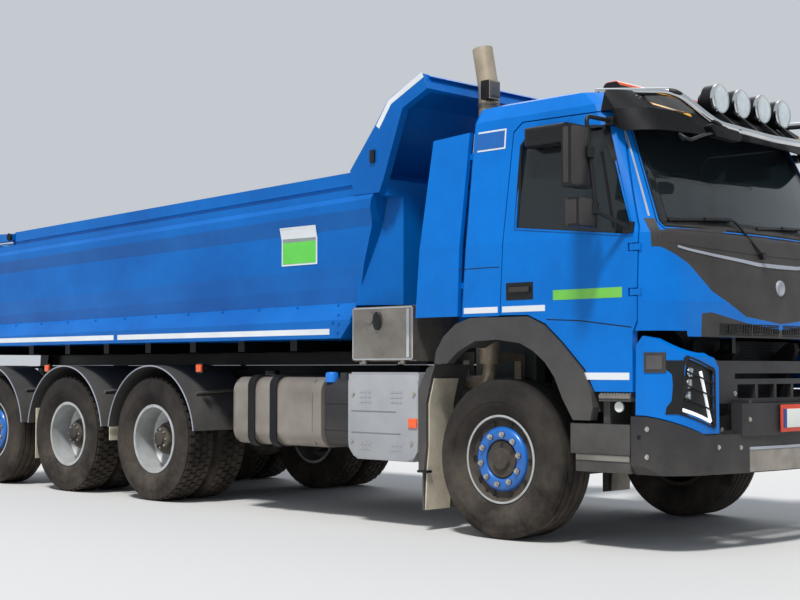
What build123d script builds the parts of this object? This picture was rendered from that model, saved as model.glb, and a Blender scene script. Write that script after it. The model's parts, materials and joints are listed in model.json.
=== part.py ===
from build123d import *
import math
import os

# Four-axle dump truck. Millimetres. X runs forward from the front axle while the pieces are
# made, Y to the truck's left, Z up from the ground. At the end everything moves so that the
# origin lies on the ground under the middle of the truck's box.

# Overall datum lines
FRONT_END = 1585
REAR_END = -7400
ORIGIN_X = (FRONT_END + REAR_END) / 2
PANEL_GAP = 8
SEAT_GAP = 0.3
RUNNING = 0.05

# Axles and wheels
WHEELBASE = 3955
DRIVE_SPACING = 1370
TAG_SPACING = 1380
WHEEL_Z = 536
TYRE_R = 536
RIM_SEAT_R = 286
RIM_FLANGE_R = 298.5
RIM_FLANGE_T = 8
RIM_WALL = 12
STEER_WHEEL_Y = 1063
STEER_RIM_HALF = 149.5
STEER_DISC_OFFSET = 120
DRIVE_PAIR_Y = 926.5
DRIVE_PAIR_HALF = 175.5
DRIVE_RIM_HALF = 114.5
KINGPIN_Y = 900
KINGPIN_R = 20
SPINDLE_R = 40
AXLE_TUBE_R = 60
DRIVE_1_X = -WHEELBASE
DRIVE_2_X = DRIVE_1_X - DRIVE_SPACING
TAG_X = DRIVE_2_X - TAG_SPACING

# Chassis frame
RAIL_Y = 425
RAIL_FLANGE = 90
RAIL_T = 10
FRAME_TOP = 1040
RAIL_DEPTH = 300
FRAME_FRONT = 1180
FRAME_REAR = -7180
SUBFRAME_TOP = 1175
SUBFRAME_FRONT = -1500

# Bed
FLOOR_BOTTOM = 1373
FLOOR_T = 70
BED_FRONT = -1400
BED_REAR = -6990
BED_NOSE = -1100
NOSE_T = 50
SHELF_Z = 1618
RECESS_X = -1360
BED_INNER_Y = 1115
HINGE_X = -6940
HINGE_Z = 1120
HINGE_PIN_R = 30
GATE_PIN_X = -6360
GATE_PIN_Z = 2452
GATE_T = 90
GATE_HALF = 1240
BED_TIP_DEG = 48

# Hoist
HOIST_BASE_X = -690
HOIST_BASE_Z = 1160
HOIST_CLOSED = 1540
HOIST_STAGES = 4
HOIST_R = 100
HOIST_PIN_R = 30
HOIST_WALL = 13
HOIST_RUN = 0.5

# Cab
CAB_FLOOR = 1500
CAB_FLOOR_T = 60
CAB_WALL = 55
CAB_ROOF = 2995
CAB_APRON_Z = 1380
TILT_X = 1290
TILT_Z = 1290
TILT_PIN_R = 20
DOOR_HINGE_X = 1100
DOOR_HINGE_Y = 1235
DOOR_HINGES_Z = (1600, 1880)
DOOR_HINGE_TALL = 40
DOOR_PIN_R = 7
GLASS_T = 8


def block(x, y, z):
    """A block between two X values, two Y values and two Z values."""
    centre = Pos((x[0] + x[1]) / 2, (y[0] + y[1]) / 2, (z[0] + z[1]) / 2)
    return centre * Box(abs(x[1] - x[0]), abs(y[1] - y[0]), abs(z[1] - z[0]))


def outline(start, legs):
    """A closed face from a start point and legs: an end point, or an arc's middle and end."""
    edges = []
    here = start
    for leg in legs:
        if len(leg) == 2:
            edges.append(Edge.make_three_point_arc(here, leg[0], leg[1]))
        else:
            edges.append(Edge.make_line(here, leg[0]))
        here = leg[-1]
    if math.dist(here, start) > 0.01:
        edges.append(Edge.make_line(here, start))
    return Face(Wire(edges))


def prism_y(points, y0, y1):
    """A prism along Y of an outline of (x, z) points."""
    face = Face(Wire.make_polygon([(x, y0, z) for x, z in points], close=True))
    return Solid.extrude(face, Vector(0, y1 - y0, 0))


def prism_x(points, x0, x1):
    """A prism along X of an outline of (y, z) points."""
    face = Face(Wire.make_polygon([(x0, y, z) for y, z in points], close=True))
    return Solid.extrude(face, Vector(x1 - x0, 0, 0))


def prism_z(points, z0, z1):
    """A prism along Z of an outline of (x, y) points."""
    face = Face(Wire.make_polygon([(x, y, z0) for x, y in points], close=True))
    return Solid.extrude(face, Vector(0, 0, z1 - z0))


def turned(points, x, y, z):
    """A turned shape about a line along Y; points are (y, radius) about the point x, y, z."""
    face = Face(Wire.make_polygon([(0, v, r) for v, r in points], close=True))
    return Pos(x, y, z) * revolve(face, Axis.Y, 360)


def rod_y(x, z, y0, y1, radius):
    """A round bar along Y."""
    return Pos(x, (y0 + y1) / 2, z) * Rot(90, 0, 0) * Cylinder(radius, abs(y1 - y0))


def rod_x(x0, x1, y, z, radius):
    """A round bar along X."""
    return Pos((x0 + x1) / 2, y, z) * Rot(0, 90, 0) * Cylinder(radius, abs(x1 - x0))


def rod_z(x, y, z0, z1, radius):
    """A round bar along Z."""
    return Pos(x, y, (z0 + z1) / 2) * Cylinder(radius, abs(z1 - z0))


def tube_along(points, radius, bend):
    """A round bar along straight runs joined by arcs of one bend radius."""
    path = FilletPolyline(*points, radius=bend)
    return sweep(path.location_at(0).x_axis and Plane(path @ 0, z_dir=path % 0) * Circle(radius), path=path)


def flipped(shape):
    """The same shape on the truck's other side."""
    return mirror(shape, about=Plane.XZ)


def pair(shape):
    """The shape and its mirror image."""
    return [shape, flipped(shape)]


def fused(shapes):
    """One solid of several that touch."""
    result = shapes[0]
    for shape in shapes[1:]:
        result = result + shape
    return result


parts = {}


# Frame: two channel rails, cross-members, spring brackets and cab towers
def make_frame():
    """Both rails with their hangers and towers, the cross-members, and the cab's rest."""
    top, low = FRAME_TOP, FRAME_TOP - RAIL_DEPTH
    inner = RAIL_Y - RAIL_FLANGE
    channel = [
        (RAIL_Y, low), (RAIL_Y, top), (inner, top), (inner, top - RAIL_T),
        (RAIL_Y - RAIL_T, top - RAIL_T), (RAIL_Y - RAIL_T, low + RAIL_T), (inner, low + RAIL_T), (inner, low),
    ]
    web = RAIL_Y - RAIL_T
    rail = prism_x(channel, FRAME_REAR, FRAME_FRONT)
    for x in (SPRING_HALF, -SPRING_HALF):
        rail = rail + block((x - 45, x + 45), (inner, RAIL_Y), (SPRING_EYE_Z, low))
    tower = prism_y(
        [(FRAME_FRONT - 260, top - 200), (FRAME_FRONT, top - 200), (FRAME_FRONT + 40, top - 40), (TILT_X + 42, TILT_Z - 20),
         (TILT_X + 28, TILT_Z + 30), (TILT_X - 28, TILT_Z + 30), (FRAME_FRONT - 260, top)],
        inner + 20, web)
    rail = fused([rail, tower, rod_y(TILT_X, TILT_Z, web - 5, web + 60, TILT_PIN_R)])
    rest_x = (CAB_REST_X - 40, CAB_REST_X + 40)
    rail = rail + block(rest_x, (inner, web), (top, CAB_FLOOR - 60))
    members = []
    for x in CROSS_MEMBERS_X:
        edge = inner + 20 if x > FRAME_FRONT - 260 else web
        members.append(block((x - 60, x + 60), (SEAT_GAP - edge, edge - SEAT_GAP), (low + 90, top - 70)))
    members.append(block(rest_x, (-web, web), (CAB_FLOOR - 60 + SEAT_GAP, CAB_FLOOR - SEAT_GAP)))
    return pair(rail) + members


CROSS_MEMBERS_X = [1110, -1340, -2400, -3300, -4640, -6015, -7110]
SPRING_HALF = 790
SPRING_EYE_Z = 690
CAB_REST_X = -290


# Tipping subframe with the rear hinge lugs and the hoist cradle
def make_subframe():
    inner = RAIL_Y - RAIL_FLANGE
    shapes = pair(block((FRAME_REAR, SUBFRAME_FRONT), (inner, RAIL_Y), (FRAME_TOP, SUBFRAME_TOP)))
    for x in (-1560, -2900, -4200, -5600, -7060):
        shapes.append(block((x - 45, x + 45), (-inner, inner), (FRAME_TOP + 20, SUBFRAME_TOP - 20)))
    pin = rod_y(HINGE_X, HINGE_Z, -RAIL_Y - 95, RAIL_Y + 95, HINGE_PIN_R)
    shapes.append(pin)
    return fused(shapes)


def make_hoist_cradle():
    inner = RAIL_Y - RAIL_FLANGE
    beam = block((HOIST_BASE_X - 70, HOIST_BASE_X + 70), (-RAIL_Y, RAIL_Y), (FRAME_TOP, FRAME_TOP + 30))
    ear = prism_y(
        [(HOIST_BASE_X - 70, FRAME_TOP + 30), (HOIST_BASE_X + 70, FRAME_TOP + 30),
         (HOIST_BASE_X + 40, HOIST_BASE_Z + 45), (HOIST_BASE_X - 40, HOIST_BASE_Z + 45)],
        HOIST_R + 12, HOIST_R + 52)
    hole = rod_y(HOIST_BASE_X, HOIST_BASE_Z, -400, 400, HOIST_PIN_R + RUNNING)
    return fused([beam] + [piece - hole for piece in pair(ear)])


def make_front_axle():
    upper = [(-860, 575), (-700, 500), (-520, 480), (520, 480), (700, 500), (860, 575)]
    lower = [(860, 497), (700, 410), (520, 390), (-520, 390), (-700, 410), (-860, 497)]
    beam = prism_x(upper + lower, -45, 45)
    eye = rod_z(0, KINGPIN_Y, WHEEL_Z - 60, WHEEL_Z + 60, 45)
    hole = rod_z(0, KINGPIN_Y, WHEEL_Z - 80, WHEEL_Z + 80, KINGPIN_R + RUNNING)
    axle = fused([beam] + pair(eye))
    for cut in pair(hole):
        axle = axle - cut
    inner = RAIL_Y - RAIL_FLANGE
    leaf_face = outline(
        (-SPRING_HALF, inner, 680),
        [((0, inner, 560), (SPRING_HALF, inner, 680)), ((SPRING_HALF, inner, 650),),
         ((0, inner, 468), (-SPRING_HALF, inner, 650))])
    leaf = Solid.extrude(leaf_face, Vector(0, 80, 0))
    for x in (SPRING_HALF, -SPRING_HALF):
        leaf = leaf + block((x - 35, x + 35), (inner, inner + 80), (640, SPRING_EYE_Z))
    return fused([axle] + pair(leaf))


def make_rear_axles():
    shapes = []
    half = 230
    for x in (DRIVE_1_X, DRIVE_2_X):
        tube = rod_y(x, WHEEL_Z, -DRIVE_PAIR_Y - 114, DRIVE_PAIR_Y + 114, AXLE_TUBE_R)
        bowl = turned([(-half, 0), (-half, 70), (-120, 190), (120, 190), (half, 70), (half, 0)], x, 0, WHEEL_Z)
        nose = rod_x(x, x + 330, 0, WHEEL_Z + 40, 95)
        drum = rod_y(x, WHEEL_Z, -DRIVE_PAIR_Y + 108, -DRIVE_PAIR_Y + 300, 195)
        shapes += [tube, bowl, nose] + pair(drum)
    shaft_z = WHEEL_Z + 40
    shapes.append(rod_x(DRIVE_2_X + 300, DRIVE_1_X - 60, 0, shaft_z, 50))
    shapes.append(rod_x(DRIVE_1_X + 300, GEARBOX_REAR, 0, shaft_z, 55))
    spring_y0, spring_y1 = 440, 530
    spring = outline(
        (DRIVE_1_X, spring_y0, 640),
        [((-(WHEELBASE + DRIVE_SPACING / 2), spring_y0, 790), (DRIVE_2_X, spring_y0, 640)),
         ((DRIVE_2_X, spring_y0, 590),),
         ((-(WHEELBASE + DRIVE_SPACING / 2), spring_y0, 650), (DRIVE_1_X, spring_y0, 590))])
    shapes += pair(Solid.extrude(spring, Vector(0, spring_y1 - spring_y0, 0)))
    middle = -(WHEELBASE + DRIVE_SPACING / 2)
    saddle = block((middle - 110, middle + 110), (RAIL_Y, spring_y1 + 20), (640, 960))
    shapes += pair(saddle)
    return fused(shapes)


GEARBOX_REAR = -1250


def make_tag_axle():
    beam = rod_y(TAG_X, WHEEL_Z, -KINGPIN_Y + 40, KINGPIN_Y - 40, 55)
    eye = rod_z(TAG_X, KINGPIN_Y, WHEEL_Z - 60, WHEEL_Z + 60, 45)
    hole = rod_z(TAG_X, KINGPIN_Y, WHEEL_Z - 80, WHEEL_Z + 80, KINGPIN_R + RUNNING)
    bellows = rod_z(TAG_X, RAIL_Y - 50, WHEEL_Z + 50, FRAME_TOP - RAIL_DEPTH, 110)
    axle = fused([beam] + pair(eye) + pair(bellows))
    for cut in pair(hole):
        axle = axle - cut
    return axle


def make_engine():
    block_body = block((-450, 850), (-322, 322), (560, 1400))
    bell = block((-560, -450), (-300, 300), (600, 1030))
    gearbox = block((GEARBOX_REAR, -540), (-210, 210), (500, 1000))
    shield = block((-1000, -450 - SEAT_GAP), (-322, -306), (1075, 1400))
    return [fused([block_body, bell, gearbox])] + pair(shield)


# Wheels
def steered_wheel_pieces(x):
    """Tyre, rim and knuckle of a single wheel on the right side."""
    y = -STEER_WHEEL_Y
    bead = STEER_RIM_HALF - RIM_FLANGE_T
    half = 192
    tyre = turned(
        [(-bead, RIM_SEAT_R), (-bead, RIM_FLANGE_R), (-half, 385), (-half + 8, 485), (-150, TYRE_R),
         (150, TYRE_R), (half - 8, 485), (half, 385), (bead, RIM_FLANGE_R), (bead, RIM_SEAT_R)], x, y, WHEEL_Z)
    face = -STEER_DISC_OFFSET
    inner_r = RIM_SEAT_R - RIM_WALL
    rim = turned(
        [(-STEER_RIM_HALF, inner_r + 4), (-STEER_RIM_HALF, RIM_FLANGE_R), (-bead, RIM_FLANGE_R), (-bead, RIM_SEAT_R),
         (bead, RIM_SEAT_R), (bead, RIM_FLANGE_R), (STEER_RIM_HALF, RIM_FLANGE_R), (STEER_RIM_HALF, inner_r),
         (face + 24, inner_r), (face + 14, 190), (face + 14, 110), (18, 95),
         (18, SPINDLE_R + RUNNING), (face + 4, SPINDLE_R + RUNNING), (face + 4, 0), (face - 42, 0),
         (face - 34, 66), (face - 12, 78), (face - 12, 122), (face, 122), (face, 190), (face + 6, inner_r - 12)],
        x, y, WHEEL_Z)
    ear = block((x - 45, x + 45), (-KINGPIN_Y - 100, -KINGPIN_Y + 40), (WHEEL_Z + 66, WHEEL_Z + 106))
    low_ear = block((x - 45, x + 45), (-KINGPIN_Y - 100, -KINGPIN_Y + 40), (WHEEL_Z - 106, WHEEL_Z - 66))
    web = block((x - 45, x + 45), (-KINGPIN_Y - 100, -KINGPIN_Y - 51), (WHEEL_Z - 106, WHEEL_Z + 106))
    kingpin = rod_z(x, -KINGPIN_Y, WHEEL_Z - 106, WHEEL_Z + 106, KINGPIN_R)
    spindle = rod_y(x, WHEEL_Z, y + face + 6, -KINGPIN_Y - 60, SPINDLE_R)
    brake = rod_y(x, WHEEL_Z, -KINGPIN_Y - 100, -KINGPIN_Y - 135, 205)
    knuckle = fused([ear, low_ear, web, kingpin, spindle, brake])
    return tyre, rim, knuckle


def twin_wheel_pieces(x):
    """Two tyres, and the joined pair of rims with their hub, on the right side."""
    y = -DRIVE_PAIR_Y
    bead = DRIVE_RIM_HALF - RIM_FLANGE_T
    half = 156
    profile = [(-bead, RIM_SEAT_R), (-bead, RIM_FLANGE_R), (-half, 385), (-half + 6, 480), (-122, TYRE_R),
               (122, TYRE_R), (half - 6, 480), (half, 385), (bead, RIM_FLANGE_R), (bead, RIM_SEAT_R)]
    tyres = [turned(profile, x, y + side * DRIVE_PAIR_HALF, WHEEL_Z) for side in (-1, 1)]
    inner_r = RIM_SEAT_R - RIM_WALL
    outer = DRIVE_PAIR_HALF + DRIVE_RIM_HALF
    near = DRIVE_PAIR_HALF - DRIVE_RIM_HALF
    bore = AXLE_TUBE_R + RUNNING
    rims = turned(
        [(-150, 0), (-150, 85), (-14, 130), (-14, 200), (-near - 30, inner_r), (-outer, inner_r), (-outer, RIM_FLANGE_R),
         (-outer + RIM_FLANGE_T, RIM_FLANGE_R), (-outer + RIM_FLANGE_T, RIM_SEAT_R), (-near, RIM_SEAT_R), (0, 206),
         (near, RIM_SEAT_R), (outer - RIM_FLANGE_T, RIM_SEAT_R), (outer - RIM_FLANGE_T, RIM_FLANGE_R),
         (outer, RIM_FLANGE_R), (outer, inner_r), (near + 30, inner_r), (14, 206), (14, 110), (100, 100),
         (100, bore), (-118, bore), (-118, 0)], x, y, WHEEL_Z)
    return tyres, rims


# Tanks and boxes on the right side, then the left side
def rounded_box_x(x0, x1, y0, y1, z0, z1, radius):
    """A tank along X with rounded long edges."""
    body = block((x0, x1), (y0, y1), (z0, z1))
    return fillet(body.edges().filter_by(Axis.X), radius)


def make_fuel_tank(side):
    y0, y1 = side * 1215, side * 560
    x0, x1 = (-2850, -1790)
    tank = rounded_box_x(x0, x1, y0, y1, 540, 1080, 120)
    shapes = [tank]
    for x in (x0 + 235, x0 + 505):
        hoop = rounded_box_x(x - 32, x + 32, y0 + side * 8, y1 - side * 8, 532, 1088, 126)
        shapes.append(hoop)
    for x in (x0 + 235, x0 + 505):
        shapes.append(block((x - 30, x + 30), (side * RAIL_Y, side * 600), (620, 1000)))
    cap = rod_z(x0 + 230, side * 1000, 1070, 1110, 55)
    shapes.append(cap)
    return fused(shapes)


def make_urea_tank():
    body = rounded_box_x(-1760, -1480, -1200, -600, 560, 1080, 110)
    neck = rod_z(-1610, -1120, 1040, 1115, 45)
    arm = block((-1700, -1540), (-600, -RAIL_Y), (700, 950))
    ribs = [rounded_box_x(-1762, -1478, -1206, -594, z, z + 16, 7) for z in (680, 880)]
    return fused([body, neck, arm] + ribs)


def make_silencer():
    z0, z1 = 480, 1107
    profile = [(-1460, z0 + 110), (-1370, z0), (-800, z0), (-735, z0 + 80), (-735, z1), (-1460, z1)]
    cover = prism_y(profile, -1235, -680)
    flange = block((-1300, -900), (-680, -RAIL_Y), (820, 980))
    lid = block((-1440, -755), (-1225, -700), (z1, z1 + 12))
    return fused([cover, flange, lid])


STACK_X = -500
STACK_Y = -740
STACK_R = 75


def make_stack():
    low = 1180
    straight = 3180
    lean = [(STACK_X, STACK_Y, low), (STACK_X, STACK_Y, straight), (STACK_X - 60, STACK_Y, 3490)]
    pipe = tube_along(lean, STACK_R, 420)
    feed = tube_along([(-735 + SEAT_GAP, STACK_Y, 1045), (STACK_X, STACK_Y, 1045), (STACK_X, STACK_Y, 1400)], 50, 80)
    bracket = block((STACK_X - 30, STACK_X + 30), (STACK_Y + 40, -RAIL_Y), (1200, 1260))
    post = block((STACK_X - 30, STACK_X + 30), (-RAIL_Y, -RAIL_Y + 50), (FRAME_TOP + SEAT_GAP, 1260))
    lamp_arm = block((STACK_X + 20, STACK_X + 120), (STACK_Y - 70, STACK_Y - 20), (3060, 3085))
    lamp = block((STACK_X + 70, STACK_X + 150), (STACK_Y - 165, STACK_Y - 50), (3078, 3212))
    return fused([pipe, feed, bracket, post, lamp_arm, lamp])


BOX_X = (-1416, -780)
BOX_Z = (1200, 1600)
BOX_Y = (-1215, -760)
BOX_WALL = 20
BOX_HINGES_X = (-1300, -900)
BOX_HINGE_Y = -1235
BOX_HINGE_Z = 1188
BOX_PIN_R = 6


def make_toolbox():
    """The box's plates, its two feet and its lower plate with the hinges."""
    x0, x1 = BOX_X
    y0, y1 = BOX_Y
    z0, z1 = BOX_Z
    wall, gap = BOX_WALL, SEAT_GAP
    top = block(BOX_X, BOX_Y, (z1 - wall, z1))
    back = block(BOX_X, (y1 - wall, y1), (z0 + wall + gap, z1 - wall - gap))
    ends = [block(x, (y0, y1 - wall - gap), (z0 + wall + gap, z1 - wall - gap)) for x in ((x0, x0 + wall), (x1 - wall, x1))]
    bottom = [block(BOX_X, BOX_Y, (z0, z0 + wall))]
    for x in BOX_HINGES_X:
        bottom.append(prism_x([(BOX_HINGE_Y - 12, BOX_HINGE_Z - 12), (y0 + 10, BOX_HINGE_Z - 12), (y0 + 10, z0 + 2), (y0, z0 + 2),
                               (BOX_HINGE_Y - 12, BOX_HINGE_Z + 2)], x - 32, x - 12))
        bottom.append(rod_x(x - 20, x + 30, BOX_HINGE_Y, BOX_HINGE_Z, BOX_PIN_R))
    feet = []
    for x in (x0 + 120, x1 - 230):
        foot = block((x - 30, x + 30), (-RAIL_Y, y1 + gap), (1210, 1270))
        feet.append(foot + block((x - 30, x + 30), (-RAIL_Y, -RAIL_Y + 60), (FRAME_TOP + gap, 1270)))
    return [top, back, fused(bottom)] + ends + feet


def make_toolbox_door():
    face_y = BOX_Y[0] - PANEL_GAP
    door = block((BOX_X[0] + 4, BOX_X[1] - 4), (face_y, face_y - 20), (BOX_Z[0] + 6, BOX_Z[1] - 4))
    lock = rod_y((BOX_X[0] + BOX_X[1]) / 2 - 130, 1520, face_y - 20, face_y - 32, 45)
    lid = fused([door, lock])
    for x in BOX_HINGES_X:
        knuckle = rod_x(x - 10, x + 26, BOX_HINGE_Y, BOX_HINGE_Z, 12)
        web = block((x - 10, x + 26), (face_y - 20, face_y - 6), (BOX_HINGE_Z, BOX_Z[0] + 20))
        lid = lid + knuckle + web - rod_x(x - 40, x + 40, BOX_HINGE_Y, BOX_HINGE_Z, BOX_PIN_R + RUNNING)
    return lid


def make_left_boxes():
    battery = block((-1500, -760), (560, 1225), (520, 1060))
    arms = [block((x - 30, x + 30), (RAIL_Y, 560), (700, 960)) for x in (-1380, -880)]
    return fused([battery] + arms)


# Bumper, lower grille, headlamp panels, steps
def front_plan(inset, half, side_x, corner_x, corner_y, nose_x):
    """A plan outline of the truck's front: side, corner arc, front arc, mirrored."""
    w = half - inset
    xs, xc, yc, xf = side_x, corner_x - inset, corner_y - inset * 0.6, nose_x - inset
    return w, xs, xc, yc, xf


def front_solid(z0, z1, back_x, half, side_x, corner, nose_x, inset=0):
    """A solid of the front's plan outline between two heights."""
    w, xs, xc, yc, xf = front_plan(inset, half, side_x, corner[0], corner[1], nose_x)
    bulge = bulge_point((xs, -w), (xc, -yc), 0.16)
    face = outline(
        (back_x, -w, z0),
        [((xs, -w, z0),), ((bulge[0], bulge[1], z0), (xc, -yc, z0)), ((xf, 0, z0), (xc, yc, z0)),
         ((bulge[0], -bulge[1], z0), (xs, w, z0)), ((back_x, w, z0),)])
    return Solid.extrude(face, Vector(0, 0, z1 - z0))


def bulge_point(a, b, share):
    """The middle of the chord from a to b, pushed out to its right by a share of its length."""
    dx, dy = b[0] - a[0], b[1] - a[1]
    return ((a[0] + b[0]) / 2 + dy * share, (a[1] + b[1]) / 2 - dx * share)


BUMPER_Z = (490, 850)
BUMPER_BEAM_TOP = 925
BUMPER_CORNER = (1440, 900)
# The line between bumper and headlamp panel, seen from the front
LAMP_LINE = [(-1250, 854), (-950, 734), (-640, 734)]


def make_bumper():
    shell = front_solid(BUMPER_Z[0], BUMPER_Z[1], 1090, 1245, 1180, BUMPER_CORNER, 1560) \
        - front_solid(BUMPER_Z[0] - 1, BUMPER_Z[1] + 1, 1000, 1245, 1180, BUMPER_CORNER, 1560, 60)
    beam = (front_solid(720, BUMPER_BEAM_TOP, 1090, 1245, 1180, BUMPER_CORNER, 1575)
            - front_solid(719, BUMPER_BEAM_TOP + 1, 1000, 1245, 1180, BUMPER_CORNER, 1575, 70)) \
        & block((1300, 1700), (-640, 640), (700, BUMPER_BEAM_TOP + 5))
    crest = prism_x(LAMP_LINE + [(-640, 900), (-1250, 900)], 900, 1700)
    shell = shell - crest - flipped(crest)
    bracket = block((FRAME_FRONT + SEAT_GAP, 1510), (RAIL_Y - 75, RAIL_Y - 5), (745, 838))
    chamfer = prism_x([(-1400, 480), (-1185, 480), (-1250, 550), (-1400, 550)], 900, 1700)
    body = fused([shell, beam] + pair(bracket))
    for cut in pair(chamfer):
        body = body - cut
    return body


def make_lower_grille():
    z0, z1 = BUMPER_BEAM_TOP, 1195
    corner = (1370, 860)
    shell = front_solid(z0, z1, 1200, 1000, 1240, corner, 1440) \
        - front_solid(z0 - 1, z1 + 1, 1100, 1000, 1240, corner, 1440, 35)
    wings = front_solid(z1, 1267, 1200, 1000, 1240, corner, 1440) \
        - front_solid(z1 - 1, 1270, 1100, 1000, 1240, corner, 1440, 35)
    wings = wings - prism_x([(-1000, 1267), (-720, z1), (720, z1), (1000, 1267), (1000, 1300), (-1000, 1300)], 1100, 1600)
    shell = shell + wings
    shell = shell - block((1200, 1600), (-560, 560), (1080, 1115))
    for y in (-440, -220, 0, 220, 440):
        shell = shell - block((1200, 1600), (y - 95, y + 95), (955, 1045))
    struts = [block((1370, 1520), (y - 20, y + 20), (BUMPER_BEAM_TOP - 40, z0 + 25)) for y in (-560, 560)]
    return fused([shell] + struts)


def make_headlamp_panels():
    z0, z1 = 700, 1355
    solid = front_solid(z0, z1, 1120, 1240, 1190, (1425, 900), 1500) \
        - front_solid(z0 - 1, z1 + 1, 1000, 1240, 1190, (1425, 900), 1500, 50)
    keep = prism_y([(1120, z0), (1600, z0), (1600, 1142), (1400, 1226), (1250, 1332), (1180, z1 - 8), (1130, 1290)], -1300, -780)
    low = prism_x([(y, z - 8) for y, z in LAMP_LINE] + [(-640, 600), (-1250, 600)], 1000, 1700)
    inner = prism_x([(-790, 1300), (-900, 1300), (-798, 1150), (-798, 700), (-600, 700), (-600, 1300)], 1000, 1700)
    panel = (solid & keep) - Pos(0, 0, 16) * low - inner
    tab = block((1138, 1176), (-1185 + SEAT_GAP, -1140), (780, 1000)) + block((1138, 1176), (-1196, -1184), (880, 1000))
    return (panel - headlamp_pocket(0)) + tab


def headlamp_pocket(grow):
    """The space of the right headlamp unit, seen from the side and front."""
    return prism_x(
        [(-1105 - grow, 880 - grow), (-848 + grow, 790 - grow), (-852 + grow, 1135 + grow), (-1070 - grow, 1210 + grow)],
        1250, 1600)


def make_headlamp():
    unit = front_solid(700, 1300, 1100, 1228, 1190, (1413, 894), 1490) \
        - front_solid(699, 1301, 1000, 1228, 1190, (1413, 894), 1490, 34)
    return unit & headlamp_pocket(-SEAT_GAP)


STEP_X = (660, 848, 1080)


def make_steps():
    """The lower tread and its cover, the upright behind them, and the shorter upper tread."""
    x0, x1, x2 = STEP_X
    upper = block((x1, x2 + 10), (-1245, -930), (940, 986))
    lower = block((x0, x2), (-1240, -930), (494, 600))
    back = block((x1, x2), (-960, -930), (494, 986))
    side = block((x1, x1 + 50), (-1195, -930), (599, 941))
    cover = block((x0, x2), (-1245, -1205), (655, 790)) + block((x1, x1 + 50), (-1210, -1190), (655, 790))
    toe = block((x2 - 30, x2), (-1240, -1215), (599, 656))
    arm = block((x1 + 30, x1 + 140), (-930, -RAIL_Y), (780, 900))
    return fused([upper, lower, back, side, cover, toe, arm])


def make_front_guards():
    """The chassis half of the front mudguard, behind the front wheel, with its flap."""
    flare = prism_y([(-560, 1175), (-640, 1150), (-725, 1000), (-725, 420), (-672, 420), (-650, 600), (-650, 900), (-600, 1080)],
                    -1250, -880)
    flap = block((-705, -688), (-1230, -890), (147, 420))
    arm = block((-720, -690), (-880, -RAIL_Y), (850, 940))
    return fused([flare, flap, arm])


GUARD_R = 640
GUARD_T = 14


def half_round_guard(x, y0, y1, start_deg, end_deg):
    """A half-round mudguard over a wheel."""
    z = WHEEL_Z
    y = y0

    def at(radius, degrees):
        return (x + radius * math.cos(math.radians(degrees)), y, z + radius * math.sin(math.radians(degrees)))

    middle = (start_deg + end_deg) / 2
    face = outline(
        at(GUARD_R, start_deg),
        [(at(GUARD_R, middle), at(GUARD_R, end_deg)), (at(GUARD_R - GUARD_T, end_deg),),
         (at(GUARD_R - GUARD_T, middle), at(GUARD_R - GUARD_T, start_deg))])
    return Solid.extrude(face, Vector(0, y1 - y0, 0))


def make_rear_guards():
    shapes = []
    for x, y0, end in ((DRIVE_1_X, -600, 172), (DRIVE_2_X, -600, 172), (TAG_X, -860, 150)):
        guard = half_round_guard(x, -1262, y0, 8, end)
        arm = block((x - 25, x + 25), (y0 - 60, -RAIL_Y), (WHEEL_Z + GUARD_R - 28, WHEEL_Z + GUARD_R - 4))
        leg = block((x - 25, x + 25), (-RAIL_Y - 30, -RAIL_Y), (900, WHEEL_Z + GUARD_R - 4))
        shapes += pair(fused([guard, arm, leg]))
    return shapes


def make_rear_bar():
    bar = block((REAR_END, REAR_END + 72), (-1200, 1200), (470, 590))
    edge = FRAME_REAR - SEAT_GAP
    post = prism_y([(-7350, 470), (-7200, 470), (edge, 760), (edge, 1000), (-7230, 1000), (-7350, 620)], 335, 415)
    lamps = [block((-7386, -7332), (-1180, -820), (600, 740))]
    brackets = [block((-7375, -7345), (y, y + 50), (590, 600)) for y in (-1150, -900)]
    return fused([bar] + pair(post) + pair(fused(lamps + brackets)))


# Bed
# Columns: half width, height at the front, drop towards the rear
BED_SIDE = [
    (1255, 1373, 0),
    (1255, 1516, 52),
    (1165, 1646, 58),
    (1195, 1770, 100),
    (1217, 1925, 125),
    (1217, 2210, 122),
    (1262, 2341, 148),
    (1262, 2406, 150),
    (1240, 2445, 150),
    (1240, 2499, 150),
    (1226, 2504, 150),
    (1226, 2527, 150),
    (1240, 2532, 150),
    (1240, 2627, 151),
]


SIDE_FRONT = -1180
# What is cut from the side's front end: a slanting edge above, a bevelled end on the skirt
SIDE_SLANT = [(-1530, 1300), (-1530, 1373), (-1405, 1516), (-1436, 1612), (-1430, 1640), (-1370, 1750), (-1222, 2240), (-1190, 2440),
              (-1190, 2640), (-1100, 2640), (-1100, 1300)]


def bed_side():
    """The left side wall, lofted from its front section to its rear one."""
    def section(x, share):
        points = [(x, y, z - drop * share) for y, z, drop in BED_SIDE]
        top = BED_SIDE[-1][1] - BED_SIDE[-1][2] * share
        points += [(x, BED_INNER_Y, top), (x, BED_INNER_Y, FLOOR_BOTTOM)]
        return Face(Wire.make_polygon(points, close=True))
    reach = (BED_FRONT - SIDE_FRONT) / (BED_REAR - BED_FRONT)
    wall = loft([section(BED_REAR, 1.0), section(SIDE_FRONT, reach)], ruled=True)
    wall = wall - prism_y(SIDE_SLANT, 1000, 1400)
    step = block((BED_REAR - 10, GATE_PIN_X + 90), (BED_INNER_Y - 10, 1300), (GATE_PIN_Z - 60, 2700))
    return wall - step


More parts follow.
